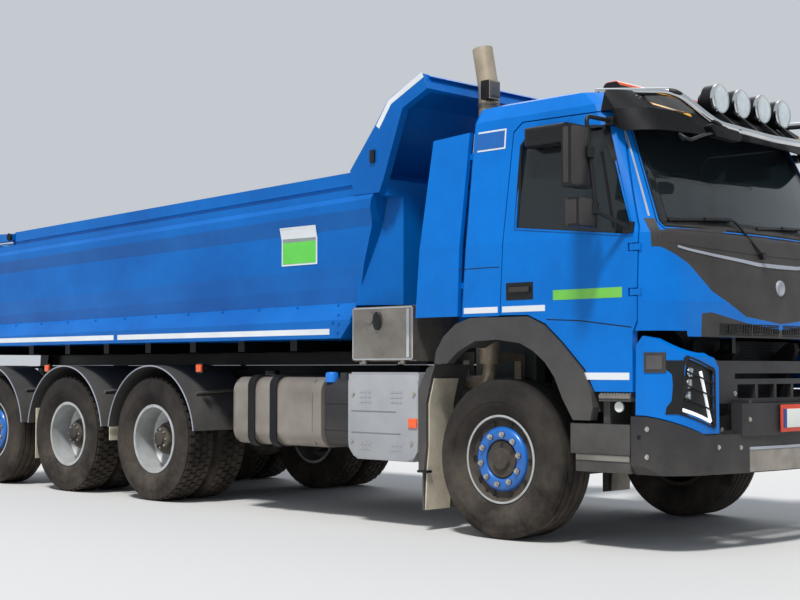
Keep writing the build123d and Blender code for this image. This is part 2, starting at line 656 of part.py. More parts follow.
def make_bed():
    rail_top = BED_SIDE[-1][1]
    shapes = pair(bed_side())
    floor = block((BED_REAR, BED_FRONT), (-BED_INNER_Y, BED_INNER_Y), (FLOOR_BOTTOM, FLOOR_BOTTOM + FLOOR_T))
    shapes.append(floor)
    recess_half = HOIST_R + 65
    low_half = -BOX_Y[1] - 20
    nose_plan = [(BED_FRONT - 100, -BED_INNER_Y - 20), (BED_FRONT, -BED_INNER_Y - 100), (BED_NOSE, -1020),
                 (BED_NOSE, 1020), (BED_FRONT, BED_INNER_Y + 100), (BED_FRONT - 100, BED_INNER_Y + 20)]
    inside = [(BED_FRONT - 101, -BED_INNER_Y), (BED_FRONT - 20, -BED_INNER_Y), (BED_NOSE - NOSE_T, -985),
              (BED_NOSE - NOSE_T, 985), (BED_FRONT - 20, BED_INNER_Y), (BED_FRONT - 101, BED_INNER_Y)]
    nose = prism_z(nose_plan, SHELF_Z, 2450) - prism_z(inside, SHELF_Z + NOSE_T, 2460)
    low = block((BED_FRONT - 100, BED_NOSE), (-low_half, low_half), (FLOOR_BOTTOM, SHELF_Z + NOSE_T))
    low = low - block((BED_FRONT - 101, BED_NOSE - NOSE_T), (-low_half + NOSE_T, low_half - NOSE_T),
                      (FLOOR_BOTTOM + FLOOR_T, SHELF_Z + NOSE_T + 1))
    nose = nose - block((BED_FRONT - 101, BED_NOSE - NOSE_T), (-low_half + NOSE_T, low_half - NOSE_T),
                        (SHELF_Z - 1, SHELF_Z + NOSE_T + 1))
    niche = block((BOX_X[0] - 14, BED_NOSE + 50), (low_half, 1300), (1100, SHELF_Z))
    niche_wall = block((BOX_X[0] - 14 - NOSE_T, BOX_X[0] - 14), (low_half - NOSE_T, BED_INNER_Y + 5),
                       (FLOOR_BOTTOM, SHELF_Z + NOSE_T))
    cheek = prism_y(CHEEK, BED_INNER_Y + 65, BED_INNER_Y + 130)
    shapes += pair(cheek)
    back = [CHEEK[0], CHEEK[1], CHEEK[2], CHEEK[3]]
    sheet = prism_y(back + [(x + 42, z - 22) for x, z in reversed(back)], -BED_INNER_Y - 65, BED_INNER_Y + 65)
    shapes.append(sheet)
    lip = prism_y([CHEEK[3], CHEEK[4], (CHEEK[4][0] - 30, CHEEK[4][1] - 14), (CHEEK[3][0] - 30, CHEEK[3][1] - 20)],
                  -BED_INNER_Y - 65, BED_INNER_Y + 65)
    shapes.append(lip)
    beam = prism_y([(-1480, 2420), (BED_NOSE, 2420), (BED_NOSE, 2540), (-1400, 2640), (-1480, 2640)],
                   -BED_INNER_Y - 65, BED_INNER_Y + 65)
    shapes.append(beam)
    runner = block((HINGE_X + 32, -1420), (RAIL_Y - 80, RAIL_Y), (SUBFRAME_TOP + 5, FLOOR_BOTTOM))
    shapes += pair(runner)
    for x in range(-6700, -1500, 650):
        shapes.append(block((x - 40, x + 40), (-1180, 1180), (FLOOR_BOTTOM - 90, FLOOR_BOTTOM)))
    bed = fused(shapes)
    for cut in pair(niche):
        bed = bed - cut
    bed = bed + nose + low
    for piece in pair(niche_wall):
        bed = bed + piece
    recess = block((BED_NOSE + 100, RECESS_X), (-recess_half, recess_half), (1200, 2560))
    recess_wall = block((BED_NOSE, RECESS_X - NOSE_T), (-recess_half - NOSE_T, recess_half + NOSE_T), (FLOOR_BOTTOM, 2560))
    bed = (bed + recess_wall) - recess
    lug = prism_y([(HINGE_X - 70, HINGE_Z), (HINGE_X - 50, HINGE_Z - 55), (HINGE_X + 50, HINGE_Z - 55), (HINGE_X + 70, HINGE_Z),
                   (HINGE_X + 110, FLOOR_BOTTOM), (BED_REAR, FLOOR_BOTTOM)], RAIL_Y + 20, RAIL_Y + 80)
    hole = rod_y(HINGE_X, HINGE_Z, RAIL_Y, RAIL_Y + 100, HINGE_PIN_R + RUNNING)
    for piece in pair(lug - hole):
        bed = bed + piece
    eye = hoist_eye()
    ear = prism_y([(eye[0] - 45, eye[1] - 50), (eye[0] + 40, eye[1] - 40), (eye[0] + 40, eye[1] + 45), (eye[0] - 45, eye[1] + 45),
                   (BED_NOSE - 40, eye[1] + 10), (BED_NOSE - 40, eye[1] - 180)], 75, 105)
    for piece in pair(ear):
        bed = bed + piece
    ear_back = block((BED_NOSE - NOSE_T, BED_NOSE), (-recess_half - 60, recess_half + 60), (2560, 2790))
    bed = bed + ear_back
    boss = rod_y(GATE_PIN_X, GATE_PIN_Z, BED_INNER_Y + 20, BED_INNER_Y + 65, 55) \
        + block((GATE_PIN_X - 60, GATE_PIN_X + 60), (BED_INNER_Y + 20, BED_INNER_Y + 65), (GATE_PIN_Z - 70, GATE_PIN_Z))
    pin = rod_y(GATE_PIN_X, GATE_PIN_Z, BED_INNER_Y + 20, BED_INNER_Y + 145, 22)
    for piece in pair(boss) + pair(pin):
        bed = bed + piece
    return bed


CHEEK = [(-1440, 2627), (-1170, 2940), (-1034, 3113), (-704, 3259), (-640, 3142), (-890, 3031), (-1087, 2526), (-1130, 2440),
         (-1400, 2440)]


def hoist_eye():
    """The hoist's upper pin, as far from the bed's hinge as the lower pin is."""
    dx, dz = HOIST_BASE_X - HINGE_X, HOIST_BASE_Z - HINGE_Z
    reach = math.hypot(dx, dz)
    turn = math.atan2(dz, dx) + 2 * math.asin(HOIST_CLOSED / 2 / reach)
    return HINGE_X + reach * math.cos(turn), HINGE_Z + reach * math.sin(turn)


def make_tailgate():
    x1 = BED_REAR - PANEL_GAP
    x0 = x1 - GATE_T
    z0, z1 = FLOOR_BOTTOM + 20, GATE_PIN_Z - 30
    skin = block((x1 - 30, x1), (-GATE_HALF, GATE_HALF), (z0, z1))
    shapes = [skin]
    for y in (-1200, -600, 0, 600, 1200):
        shapes.append(block((x0, x1 - 30), (y - 40, y + 40), (z0, z1)))
    for z in (z0 + 40, z1 - 40):
        shapes.append(block((x0, x1 - 30), (-GATE_HALF, GATE_HALF), (z - 40, z + 40)))
    arm = prism_y([(GATE_PIN_X + 38, GATE_PIN_Z - 25), (GATE_PIN_X + 38, GATE_PIN_Z + 32), (x0, GATE_PIN_Z + 60),
                   (x0, GATE_PIN_Z - 110), (x1, GATE_PIN_Z - 110), (x1, GATE_PIN_Z - 40), (GATE_PIN_X, GATE_PIN_Z - 40)],
                  BED_INNER_Y + 72, BED_INNER_Y + 128)
    hole = rod_y(GATE_PIN_X, GATE_PIN_Z, BED_INNER_Y, BED_INNER_Y + 200, 22 + RUNNING)
    shapes += pair(arm - hole)
    return fused(shapes)


# Hoist
def hoist_pieces():
    """The cover tube and its stages, standing at the lower pin and leaning to the upper one."""
    eye = hoist_eye()
    lean = math.degrees(math.atan2(eye[0] - HOIST_BASE_X, eye[1] - HOIST_BASE_Z))
    place = Pos(HOIST_BASE_X, 0, HOIST_BASE_Z) * Rot(0, lean, 0)
    pieces = []
    foot = -36
    radius = HOIST_R
    show = 22
    top = HOIST_CLOSED - 60 - (HOIST_STAGES + 1) * show
    for stage in range(HOIST_STAGES + 1):
        next_radius = radius - HOIST_WALL - HOIST_RUN
        low = foot + stage * 12
        high = top + stage * show
        body = rod_z(0, 0, low, high, radius)
        if stage < HOIST_STAGES:
            body = body - rod_z(0, 0, low + 11, high + 1, next_radius + HOIST_RUN)
        else:
            body = body + rod_z(0, 0, high, HOIST_CLOSED, 30) + rod_y(0, HOIST_CLOSED, -60, 60, 42)
        if stage == 0:
            body = body + rod_y(0, 0, -HOIST_R - 62, -HOIST_R + 5, HOIST_PIN_R)
            body = body + rod_y(0, 0, HOIST_R - 5, HOIST_R + 62, HOIST_PIN_R)
        pieces.append(place * body)
        radius = next_radius
    return pieces


# Cab
# Columns: height, half width, rear X, where the side ends, corner X, corner half width, nose X
CAB_SECTIONS = [
    (1000, 1240, -390, 1150, 1330, 1010, 1400),
    (1560, 1245, -346, 1150, 1352, 1000, 1432),
    (1990, 1245, -310, 1130, 1300, 1040, 1392),
    (2850, 1165, -288, 770, 900, 930, 975),
    (2950, 1110, -275, 640, 770, 870, 850),
    (CAB_ROOF, 960, -215, 400, 540, 720, 620),
]


def cab_section(row, inset):
    z, w, xr, xs, xc, yc, xf = row
    w -= inset
    xr += inset
    xc -= inset
    yc -= inset * 0.6
    xf -= inset
    xs -= inset * 0.3
    r = 60
    corner = bulge_point((xs, -w), (xc, -yc), 0.14)
    k = r * (1 - math.sqrt(0.5))
    return outline(
        (xr + r, -w, z),
        [((xs, -w, z),), ((corner[0], corner[1], z), (xc, -yc, z)), ((xf, 0, z), (xc, yc, z)),
         ((corner[0], -corner[1], z), (xs, w, z)), ((xr + r, w, z),),
         ((xr + k, w - k, z), (xr, w - r, z)), ((xr, -w + r, z),),
         ((xr + k, -w + k, z), (xr + r, -w, z))])


def cab_form(inset, rows=None):
    """The cab's outer form, or the same form moved in by an inset."""
    rows = rows or CAB_SECTIONS
    return loft([cab_section(row, inset) for row in rows], ruled=True)


DOOR_OUTLINE = [
    (35, 1505), (275, 1500), (420, 1440), (560, 1320), (740, 1140), (812, 1000), (1102, 1000), (1106, 1370),
    (1140, 1440), (1150, 2010), (905, 2790), (180, 2800), (105, 2740)]
WINDOW_OUTLINE = [(165, 2085), (1060, 1985), (1095, 2040), (865, 2700), (240, 2710), (178, 2640)]
# The flare's outer and inner edges over the front wheel, seen from the side
ARCH_OUTER = [(-560, 1180), (-545, 1265), (-475, 1365), (-360, 1452), (-225, 1491), (275, 1490), (414, 1430), (552, 1311),
              (730, 1131), (800, 996), (812, 900), (792, 818)]
ARCH_INNER = [(655, 818), (610, 890), (566, 961), (510, 1085), (428, 1187), (330, 1262), (218, 1314), (20, 1340), (-180, 1333),
              (-337, 1262), (-440, 1180)]
ARCH_DEPTH = (-1262, -975)
WINDSCREEN_OUTLINE = [(-1110, 2025), (-1130, 2060), (-1010, 2800), (-960, 2840), (960, 2840), (1010, 2800), (1130, 2060), (1110, 2025)]
# The dark panel below the windscreen, and the grille band, seen from the front
PANEL_OUTLINE = [(-1165, 2005), (-1150, 1895), (-960, 1800), (-760, 1630), (-420, 1480), (0, 1440), (420, 1480), (760, 1630),
                 (960, 1800), (1150, 1895), (1165, 2005)]
BAND_OUTLINE = [(-870, 1345), (-870, 1490), (-780, 1500), (-420, 1440), (0, 1400), (420, 1440), (780, 1500), (870, 1490), (870, 1345)]


def scaled_outline(points, gap):
    """The outline moved out by a gap from its middle, for openings with a clearance."""
    cx = sum(p[0] for p in points) / len(points)
    cz = sum(p[1] for p in points) / len(points)
    moved = []
    for x, z in points:
        moved.append((x + math.copysign(gap, x - cx), z + math.copysign(gap, z - cz)))
    return moved


def cab_pieces():
    outer = cab_form(0)
    inner_rows = [row for row in CAB_SECTIONS if row[0] > 1500]
    inner_rows[0] = (CAB_FLOOR + CAB_FLOOR_T,) + CAB_SECTIONS[1][1:]
    inner_rows[-1] = (CAB_ROOF - 50,) + CAB_SECTIONS[-1][1:]
    inner = cab_form(CAB_WALL, inner_rows)
    skin_inner = cab_form(CAB_WALL)
    below_floor = block((-600, 1600), (-1400, 1400), (900, CAB_FLOOR))
    apron = (outer - skin_inner) & block((DOOR_HINGE_X + 30, 1600), (-1400, 1400), (1345, CAB_FLOOR))
    low_corner = block((1000, 1345), (-1400, -880), (1300, CAB_APRON_Z))
    for cut in pair(low_corner):
        apron = apron - cut
    shell = (outer - inner - below_floor) + apron
    screen_prism = prism_x(WINDSCREEN_OUTLINE, 700, 1700)
    panel_prism = prism_x(PANEL_OUTLINE, 1050, 1700)
    band_prism = prism_x(BAND_OUTLINE, 1050, 1700)
    front_skin = (outer - skin_inner)
    panel = front_skin & panel_prism
    band = front_skin & band_prism
    shell = shell - (front_skin & screen_prism) - panel - band
    slots = [block((1200, 1600), (y - 9, y + 9), (1372, 1425)) for y in range(-600, 601, 30) if abs(y) > 20]
    for slot in slots:
        band = band - slot
    opening = prism_y(scaled_outline(DOOR_OUTLINE, PANEL_GAP), -1400, -1000)
    door_cut = prism_y(DOOR_OUTLINE, -1400, -1000)
    door = front_skin & door_cut
    door = door - prism_x(scaled_outline(WINDSCREEN_OUTLINE, PANEL_GAP), 700, 1700)
    door = largest(door - prism_x(scaled_outline(PANEL_OUTLINE, PANEL_GAP), 1050, 1700))
    window = prism_y(WINDOW_OUTLINE, -1400, -1000)
    door = door - window
    shell = shell - opening - flipped(opening)
    shell = largest(shell)
    lug = block((TILT_X - 45, TILT_X + 45), (RAIL_Y - 2, RAIL_Y + 40), (TILT_Z - 45, CAB_FLOOR + 5))
    lug = lug & cab_form(CAB_WALL + SEAT_GAP)
    bore = rod_y(TILT_X, TILT_Z, RAIL_Y - 20, RAIL_Y + 100, TILT_PIN_R + RUNNING)
    for piece in pair(lug):
        shell = shell + piece
    for cut in pair(bore):
        shell = shell - cut
    for z in DOOR_HINGES_Z:
        top = z + DOOR_HINGE_TALL
        door = door - block((DOOR_HINGE_X - 22, 1170), (-1300, -1150), (z - 6, top + 6))
        door = door + rod_z(DOOR_HINGE_X, -DOOR_HINGE_Y, z - 20, top + 20, DOOR_PIN_R)
        leaf = block((DOOR_HINGE_X, 1172), (-1244, -1216), (z, top)) + rod_z(DOOR_HINGE_X, -DOOR_HINGE_Y, z, top, 14)
        leaf = leaf - rod_z(DOOR_HINGE_X, -DOOR_HINGE_Y, z - 1, top + 1, DOOR_PIN_R + RUNNING)
        for piece in pair(leaf):
            shell = shell + piece
    glass_skin = cab_form(14) - cab_form(14 + GLASS_T)
    screen = glass_skin & screen_prism & block((700, 1700), (-1400, 1400), (1900, 2900))
    pane = glass_skin & window
    return shell, panel, band, door, screen, pane


# Where the cab's sheet panels meet: floor, back, roof, sides and corners, each between X, Y and Z values
FAR = 9000
SHELL_CUTS = [
    ((-FAR, FAR), (-FAR, FAR), (0, CAB_FLOOR + CAB_FLOOR_T)),
    ((-FAR, -170), (-FAR, FAR), (0, FAR)),
    ((-FAR, FAR), (-FAR, FAR), (2792, FAR)),
    ((-FAR, 600), (-FAR, 0), (0, FAR)),
    ((-FAR, 600), (0, FAR), (0, FAR)),
    ((0, FAR), (-FAR, 0), (0, FAR)),
]
# Where the bed's plates meet: runners and bars, floor, canopy, front wall above its shelf and between the
# toolbox niches, the niches' walls and shelves, and sides
BED_CUTS = [
    ((-FAR, BED_FRONT - 110), (-FAR, FAR), (0, FLOOR_BOTTOM)),
    ((-FAR, BED_FRONT - 110), (-BED_INNER_Y, BED_INNER_Y), (0, FLOOR_BOTTOM + FLOOR_T)),
    ((-1480, FAR), (-FAR, FAR), (2450, FAR)),
    ((BED_FRONT - 110, FAR), (-BED_INNER_Y - 16, BED_INNER_Y + 16), (SHELF_Z + NOSE_T, FAR)),
    ((BED_FRONT - 110, FAR), (BOX_Y[1] + 20, -BOX_Y[1] - 20), (0, FAR)),
    ((BED_FRONT - 110, BOX_X[0] - 14), (-BED_INNER_Y, BED_INNER_Y), (0, FAR)),
    ((BED_FRONT - 110, FAR), (-BED_INNER_Y, BED_INNER_Y), (0, FAR)),
]


def panels(shape, cuts):
    """The shape's solids after it is parted at each cut box, with a hairline gap between them."""
    result = []
    rest = shape
    for x, y, z in cuts:
        inside = rest & block(x, y, z)
        result += [solid for solid in inside.solids() if solid.volume > 2000]
        grown = [(a[0] - SEAT_GAP, a[1] + SEAT_GAP) for a in (x, y, z)]
        rest = rest - block(*grown)
    return result + [solid for solid in rest.solids() if solid.volume > 2000]


def largest(shape):
    """The largest solid of a shape."""
    return max(shape.solids(), key=lambda solid: solid.volume)


VISOR_SECTIONS = [
    (2650, 1175, 300, 980, 1215, 980, 1330),
    (2800, 1165, 300, 930, 1130, 960, 1230),
    (2945, 1120, 300, 800, 930, 900, 1010),
]


def make_visor():
    shell = cab_form(0, VISOR_SECTIONS) - cab_form(16, [(r[0] - 1,) + r[1:] for r in VISOR_SECTIONS[:1]] + VISOR_SECTIONS[1:2]
                                                 + [(VISOR_SECTIONS[2][0] + 1,) + VISOR_SECTIONS[2][1:]])
    keep = prism_y([(820, 2960), (820, 2745), (1000, 2650), (1500, 2640), (1500, 2960)], -1400, 1400)
    visor = (shell & keep) - cab_form(-SEAT_GAP, CAB_SECTIONS[2:])
    for cut in pair(prism_y(scaled_outline(DOOR_OUTLINE, PANEL_GAP), -1400, -1080)):
        visor = visor - cut
    return largest(visor)


def make_roof_lights():
    run = [(660, -1000, 2965), (1190, -870, 2915), (1345, -640, 2715), (1372, 0, 2690), (1345, 640, 2715),
           (1190, 870, 2915), (660, 1000, 2965)]
    tube = tube_along(run, 21, 90)
    shapes = [tube]
    for y in LAMP_Y:
        lamp = Pos(LAMP_X - 45, y, LAMP_Z) * Rot(0, 90, 0) * Cylinder(LAMP_R, 90)
        back = Pos(LAMP_X - 115, y, LAMP_Z) * Rot(0, 90, 0) * Cone(45, 88, 60)
        foot_z = LAMP_Z - LAMP_R
        post = prism_y([(LAMP_X - 40, foot_z + 12), (LAMP_X - 5, foot_z + 12), (1385, 2700), (1352, 2682), (LAMP_X - 30, foot_z - 8)],
                       y - 15, y + 15)
        shapes += [lamp, back, post]
    lights = [fused(shapes)]
    bar = block((350, 490), (-500, 500), (3010, 3140))
    bar = fillet(bar.edges().filter_by(Axis.Y).sort_by(Axis.Z)[2:], 40)
    legs = [block((395, 445), (y - 25, y + 25), (CAB_ROOF + SEAT_GAP, 3012)) for y in (-300, 300)]
    lights.append(fused([bar] + legs))
    foot = block((640, 700), (-1020, -970), (2860, 2962)) - cab_form(-SEAT_GAP)
    for piece in pair(foot):
        lights[0] = lights[0] + piece
    lights[0] = lights[0] - cab_form(-SEAT_GAP) - cab_form(-SEAT_GAP, VISOR_SECTIONS)
    return lights


LAMP_Y = (-405, -135, 135, 405)
LAMP_X = 1230
LAMP_Z = 2925
LAMP_R = 98


def make_deflectors():
    """The panel behind the cab's corner, leaning inwards with the cab's side."""
    outer = [(-1245, 1506), (-1245, 1990), (-1168, 2790)]
    section = prism_x(outer + [(y + 36, z) for y, z in reversed(outer)], -900, 0)
    sheet = section & prism_y([(-356, 1506), (-760, 1506), (-650, 2770), (-304, 2790)], -1300, -1000)
    ties = [block((-420, -250), (y, y + 100), (z, z + 40)) - cab_form(-SEAT_GAP) for y, z in ((-1212, 1700), (-1160, 2600))]
    return fused([sheet] + [largest_rear(tie) for tie in ties])


def largest_rear(shape):
    """The solid of a shape that reaches furthest back."""
    return min(shape.solids(), key=lambda solid: solid.bounding_box().min.X)


def make_arches():
    """The flare over the front wheel and the shallow lining behind its lip."""
    band = prism_y(ARCH_OUTER + ARCH_INNER, ARCH_DEPTH[0], ARCH_DEPTH[0] + 70)
    trim = 28
    lining = [(x, z - trim) for x, z in ARCH_OUTER[3:-1]] + [(x, z + trim) for x, z in ARCH_INNER[1:-1]]
    hanger = block((-150, 150), (-1120, -1020), (1440, CAB_FLOOR - SEAT_GAP))
    return band + prism_y(lining, ARCH_DEPTH[0] + 69, ARCH_DEPTH[1]) + hanger


def make_interior():
    seats = []
    for y in (-600, 600):
        base = block((-20, 480), (y - 250, y + 250), (CAB_FLOOR + CAB_FLOOR_T, 1930))
        back = prism_y([(-20, 1930), (110, 1930), (20, 2560), (-90, 2560)], y - 240, y + 240)
        seats += [base, back]
    dash = prism_y([(960, CAB_FLOOR + CAB_FLOOR_T), (1180, CAB_FLOOR + CAB_FLOOR_T), (1180, 1960), (1000, 1990), (900, 1860)], -1020, 1020)
    column = Pos(820, 600, 1960) * Rot(0, -35, 0) * Cylinder(25, 300)
    tilt = Pos(745, 600, 2067) * Rot(0, -35, 0)
    wheel = tilt * (Torus(205, 16) + Box(400, 45, 16) + Box(45, 400, 16))
    dash = dash - Pos(820, 600, 1960) * Rot(0, -35, 0) * Cylinder(25 + SEAT_GAP, 300)
    return [dash, fused([column, wheel])] + seats


def make_mirrors():
    arm = tube_along([(905, -1120, 2722), (880, -1400, 2730), (965, -1420, 2120), (1100, -1230, 2015)], 14, 40) - cab_form(-SEAT_GAP)
    upper = block((830, 900), (-1590, -1380), (2270, 2660))
    lower = block((870, 950), (-1580, -1390), (2020, 2200))
    near = block((285, 625), (-1305, -1100), (2605, 2738))
    near = fillet(near.edges().filter_by(lambda edge: edge.center().Y < -1300), 34) - cab_form(-SEAT_GAP)
    return [fused([arm, upper, lower]), near]


def build():
    parts["frame_rails"] = make_frame()
    parts["subframe"] = [make_subframe(), make_hoist_cradle()]
    parts["front_axle"] = [make_front_axle()]
    parts["rear_axles"] = [make_rear_axles(), make_tag_axle()]
    parts["engine"] = make_engine()
    parts["fuel_tank"] = [make_fuel_tank(-1)]
    parts["urea_tank"] = [make_urea_tank()]
    parts["silencer_box"] = [make_silencer()]
    parts["exhaust_stack"] = [make_stack()]
    parts["toolbox"] = make_toolbox()
    parts["toolbox_door"] = [make_toolbox_door()]
    parts["left_boxes"] = [make_left_boxes(), make_fuel_tank(1)]
    parts["bumper"] = [make_bumper() + make_lower_grille()]
    parts["headlamp_panels"] = pair(make_headlamp_panels())
    parts["headlamps"] = pair(make_headlamp())
    parts["steps"] = pair(make_steps())
    parts["mudguards"] = pair(make_front_guards()) + make_rear_guards()
    parts["rear_bar"] = [make_rear_bar()]
    for x, name in ((0, "front"), (TAG_X, "tag")):
        tyre, rim, knuckle = steered_wheel_pieces(x)
        for side, place in (("right", lambda s: s), ("left", flipped)):
            parts[f"tyre_{name}_{side}"] = [place(tyre)]
            parts[f"rim_{name}_{side}"] = [place(rim)]
            parts[f"knuckle_{name}_{side}"] = [place(knuckle)]
    for x, name in ((DRIVE_1_X, "drive1"), (DRIVE_2_X, "drive2")):
        tyres, rims = twin_wheel_pieces(x)
        for side, place in (("right", lambda s: s), ("left", flipped)):
            parts[f"tyres_{name}_{side}"] = [place(t) for t in tyres]
            parts[f"rims_{name}_{side}"] = [place(rims)]
    parts["bed"] = panels(make_bed(), BED_CUTS)
    parts["tailgate"] = [make_tailgate()]
    for stage, piece in enumerate(hoist_pieces()):
        parts["hoist_cover" if stage == 0 else f"hoist_stage_{stage}"] = [piece]
    shell, panel, band, door, screen, pane = cab_pieces()
    parts["cab_shell"] = panels(shell, SHELL_CUTS)
    parts["front_panel"] = [panel, band]
    parts["windscreen"] = [screen]
    parts["door_right"] = [door]
    parts["door_left"] = [flipped(door)]
    parts["door_glass_right"] = [pane]
    parts["door_glass_left"] = [flipped(pane)]
    parts["sun_visor"] = [make_visor()]
    parts["roof_lights"] = make_roof_lights()
    parts["side_deflectors"] = pair(make_deflectors())
    parts["wheel_arches"] = pair(make_arches())
    parts["cab_interior"] = make_interior()
    mirrors = make_mirrors()
    parts["mirrors_right"] = mirrors
    parts["mirrors_left"] = [flipped(mirror) for mirror in mirrors]


def write():
    os.makedirs("parts", exist_ok=True)
    for name, shapes in parts.items():
        solids = []
        for shape in shapes:
            solids += [Pos(-ORIGIN_X, 0, 0) * solid for solid in shape.solids()]
        whole = solids[0] if len(solids) == 1 else Compound(solids)
        export_step(whole, f"parts/{name}.step")
    print(len(parts), "nodes written")


build()
write()
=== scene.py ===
"""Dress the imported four-axle dump truck with its finishes, trim, tyres, glass and small fittings."""
from __future__ import annotations

import json
import logging
import math
from dataclasses import dataclass, replace
from enum import Enum
from typing import Callable, Iterable

import bmesh
import bpy
from mathutils import Matrix, Vector
from mathutils.bvhtree import BVHTree

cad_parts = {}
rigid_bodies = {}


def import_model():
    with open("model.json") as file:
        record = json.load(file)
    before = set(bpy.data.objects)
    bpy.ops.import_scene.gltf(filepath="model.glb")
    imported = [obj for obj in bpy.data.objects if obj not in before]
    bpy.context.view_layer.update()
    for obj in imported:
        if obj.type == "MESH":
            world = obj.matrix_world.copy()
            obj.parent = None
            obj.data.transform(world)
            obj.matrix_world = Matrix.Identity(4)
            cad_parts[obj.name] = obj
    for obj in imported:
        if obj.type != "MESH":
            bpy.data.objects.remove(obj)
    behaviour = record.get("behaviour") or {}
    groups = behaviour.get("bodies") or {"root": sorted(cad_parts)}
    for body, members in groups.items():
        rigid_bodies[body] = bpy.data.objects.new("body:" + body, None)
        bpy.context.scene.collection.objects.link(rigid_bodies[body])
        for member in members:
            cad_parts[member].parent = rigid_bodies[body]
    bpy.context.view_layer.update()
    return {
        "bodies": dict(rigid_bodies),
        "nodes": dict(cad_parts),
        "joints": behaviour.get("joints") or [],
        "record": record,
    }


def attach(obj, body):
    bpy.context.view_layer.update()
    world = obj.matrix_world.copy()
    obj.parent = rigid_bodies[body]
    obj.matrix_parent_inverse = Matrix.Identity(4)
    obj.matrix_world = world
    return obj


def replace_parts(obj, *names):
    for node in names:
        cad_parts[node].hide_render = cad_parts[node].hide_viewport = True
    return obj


LOG = logging.getLogger("dump_truck")
MM = 0.001
Point = tuple[float, float, float]
Pair = tuple[float, float]
Stud = tuple[Vector, Vector]
# The doors' bodies, one for each side
DOORS = "door_{side}"


class Side(Enum):
    """The truck's two sides, with the sign of Y."""

    RIGHT = -1
    LEFT = 1


class Plane(Enum):
    """The way in which trim is dropped on a surface from one side of the truck."""

    RIGHT = (0.0, 1.0, 0.0)
    FRONT = (-1.0, 0.0, 0.0)
    TOP = (0.0, 0.0, -1.0)


# Where a drop starts, and where it ends if it meets nothing, in millimetres along the plane's axis
DROP_FROM = {Plane.RIGHT: -3000, Plane.FRONT: 4000, Plane.TOP: 5000}
DROP_TO = {Plane.RIGHT: -1245, Plane.FRONT: 1400, Plane.TOP: 2560}


class Coat(Enum):
    """How a surface was made, which chooses its node tree."""

    PAINT = "paint"
    MOULDED = "moulded"
    BRUSHED = "brushed"
    GLASS = "glass"
    WOVEN = "woven"


@dataclass(frozen=True)
class Finish:
    """One surface finish.

    Pattern sizes are real millimetres, and dust_top, under and inner are metres in the frame. Dust thickens from
    dust_top down. Below the height under the surface is black, and inner is the worn load space's half width.
    """

    name: str
    colour: str
    shade: str
    coat: Coat = Coat.PAINT
    rough: float = 0.4
    metallic: float = 0.0
    clear: float = 0.0
    cloud_mm: float = 350.0
    grain_mm: float = 6.0
    bump: float = 0.05
    dust: float = 0.0
    dust_top: float = 1.3
    glow: float = 0.0
    under: float = 0.0
    gloss: float = 0.5
    inner: float = 0.0


# Two-pack lorry paint, sprayed: even and glossy, with a soft reflection and a little road dust low down
CAB_PAINT = Finish("cab_blue_enamel", "#0072CC", "#0069BF", rough=0.26, clear=0.06, gloss=0.16, dust=0.1,
                   dust_top=1.15, bump=0.03, under=1.343)
# The doors and lamp panels reach further down than the shell, and stay blue
DOOR_PAINT = replace(CAB_PAINT, name="door_blue_enamel", under=0.0)
# The same paint over welded plate: a slow waviness and less gloss
BED_PAINT = Finish("bed_blue_enamel", "#0067BA", "#0058A6", rough=0.36, clear=0.04, gloss=0.18, cloud_mm=900,
                   bump=0.08, dust=0.12, dust_top=1.7, under=1.368, inner=1.163)
# The load space, scoured by stone: brown-grey plate with blue left in patches
BED_WORN = Finish("scoured_steel_plate", "#7D7368", "#3F6288", cloud_mm=420)
# The bed rail's top edge, paler than the paint: partly wear where the loader rubs it, partly a painted highlight on its
# upward face
RAIL_WEAR_HIGHLIGHT = Finish("bare_worn_steel", "#3F7DB2", "#1765AE", rough=0.5, metallic=0.1, cloud_mm=120)
# Smooth injection-moulded acrylic of the visor: near black, softly shiny
VISOR = Finish("glossy_visor_plastic", "#0D0D10", "#08080A", Coat.MOULDED, rough=0.5, gloss=0.18, grain_mm=30,
               bump=0.0)
# Moulded polypropylene of the cowl: warm grey with a fine leather grain, drawn coarser to show
COWL = Finish("moulded_grey_cowl", "#3D3937", "#322F2D", Coat.MOULDED, rough=0.48, gloss=0.35, grain_mm=2.5,
              bump=0.12, dust=0.2)
# Pressed bumper steel in dark paint: flat sheen, dusty towards the road
BUMPER = Finish("painted_bumper_steel", "#302F30", "#272627", rough=0.48, gloss=0.4, bump=0.08, dust=0.4,
                dust_top=0.8)
# Moulded polypropylene of arches and steps, bleached a little by the sun
FLARE = Finish("moulded_flare_plastic", "#454443", "#383737", Coat.MOULDED, rough=0.55, gloss=0.4, grain_mm=2.5,
               bump=0.15, dust=0.35, dust_top=1.4)
# Moulded ABS of brackets and lamp bodies: black satin
BLACK = Finish("black_satin_plastic", "#131416", "#0C0D0E", Coat.MOULDED, rough=0.4, gloss=0.35, grain_mm=2.0,
               bump=0.06)
# Extruded EPDM rubber round the panes: dull black
SEAL = Finish("black_window_rubber", "#101113", "#0A0B0C", Coat.MOULDED, rough=0.6, gloss=0.3, grain_mm=2.0,
              bump=0.05)
# Dipped chassis paint: black, with orange peel and caked dust
FRAME = Finish("chassis_paint", "#151517", "#0E0F10", rough=0.65, gloss=0.25, grain_mm=9, bump=0.25, dust=0.35,
               dust_top=1.0)
# Sand-cast iron axles and knuckles: rough dark skin under thick dust
IRON = Finish("cast_iron_axle", "#2A2826", "#1C1B1A", rough=0.75, grain_mm=7, bump=0.5, dust=0.9, dust_top=1.1)
# Engine castings: grey, rough, oily dust
ENGINE = Finish("engine_casting", "#5A5F58", "#474B45", rough=0.65, grain_mm=8, bump=0.4, dust=0.6, dust_top=1.2)
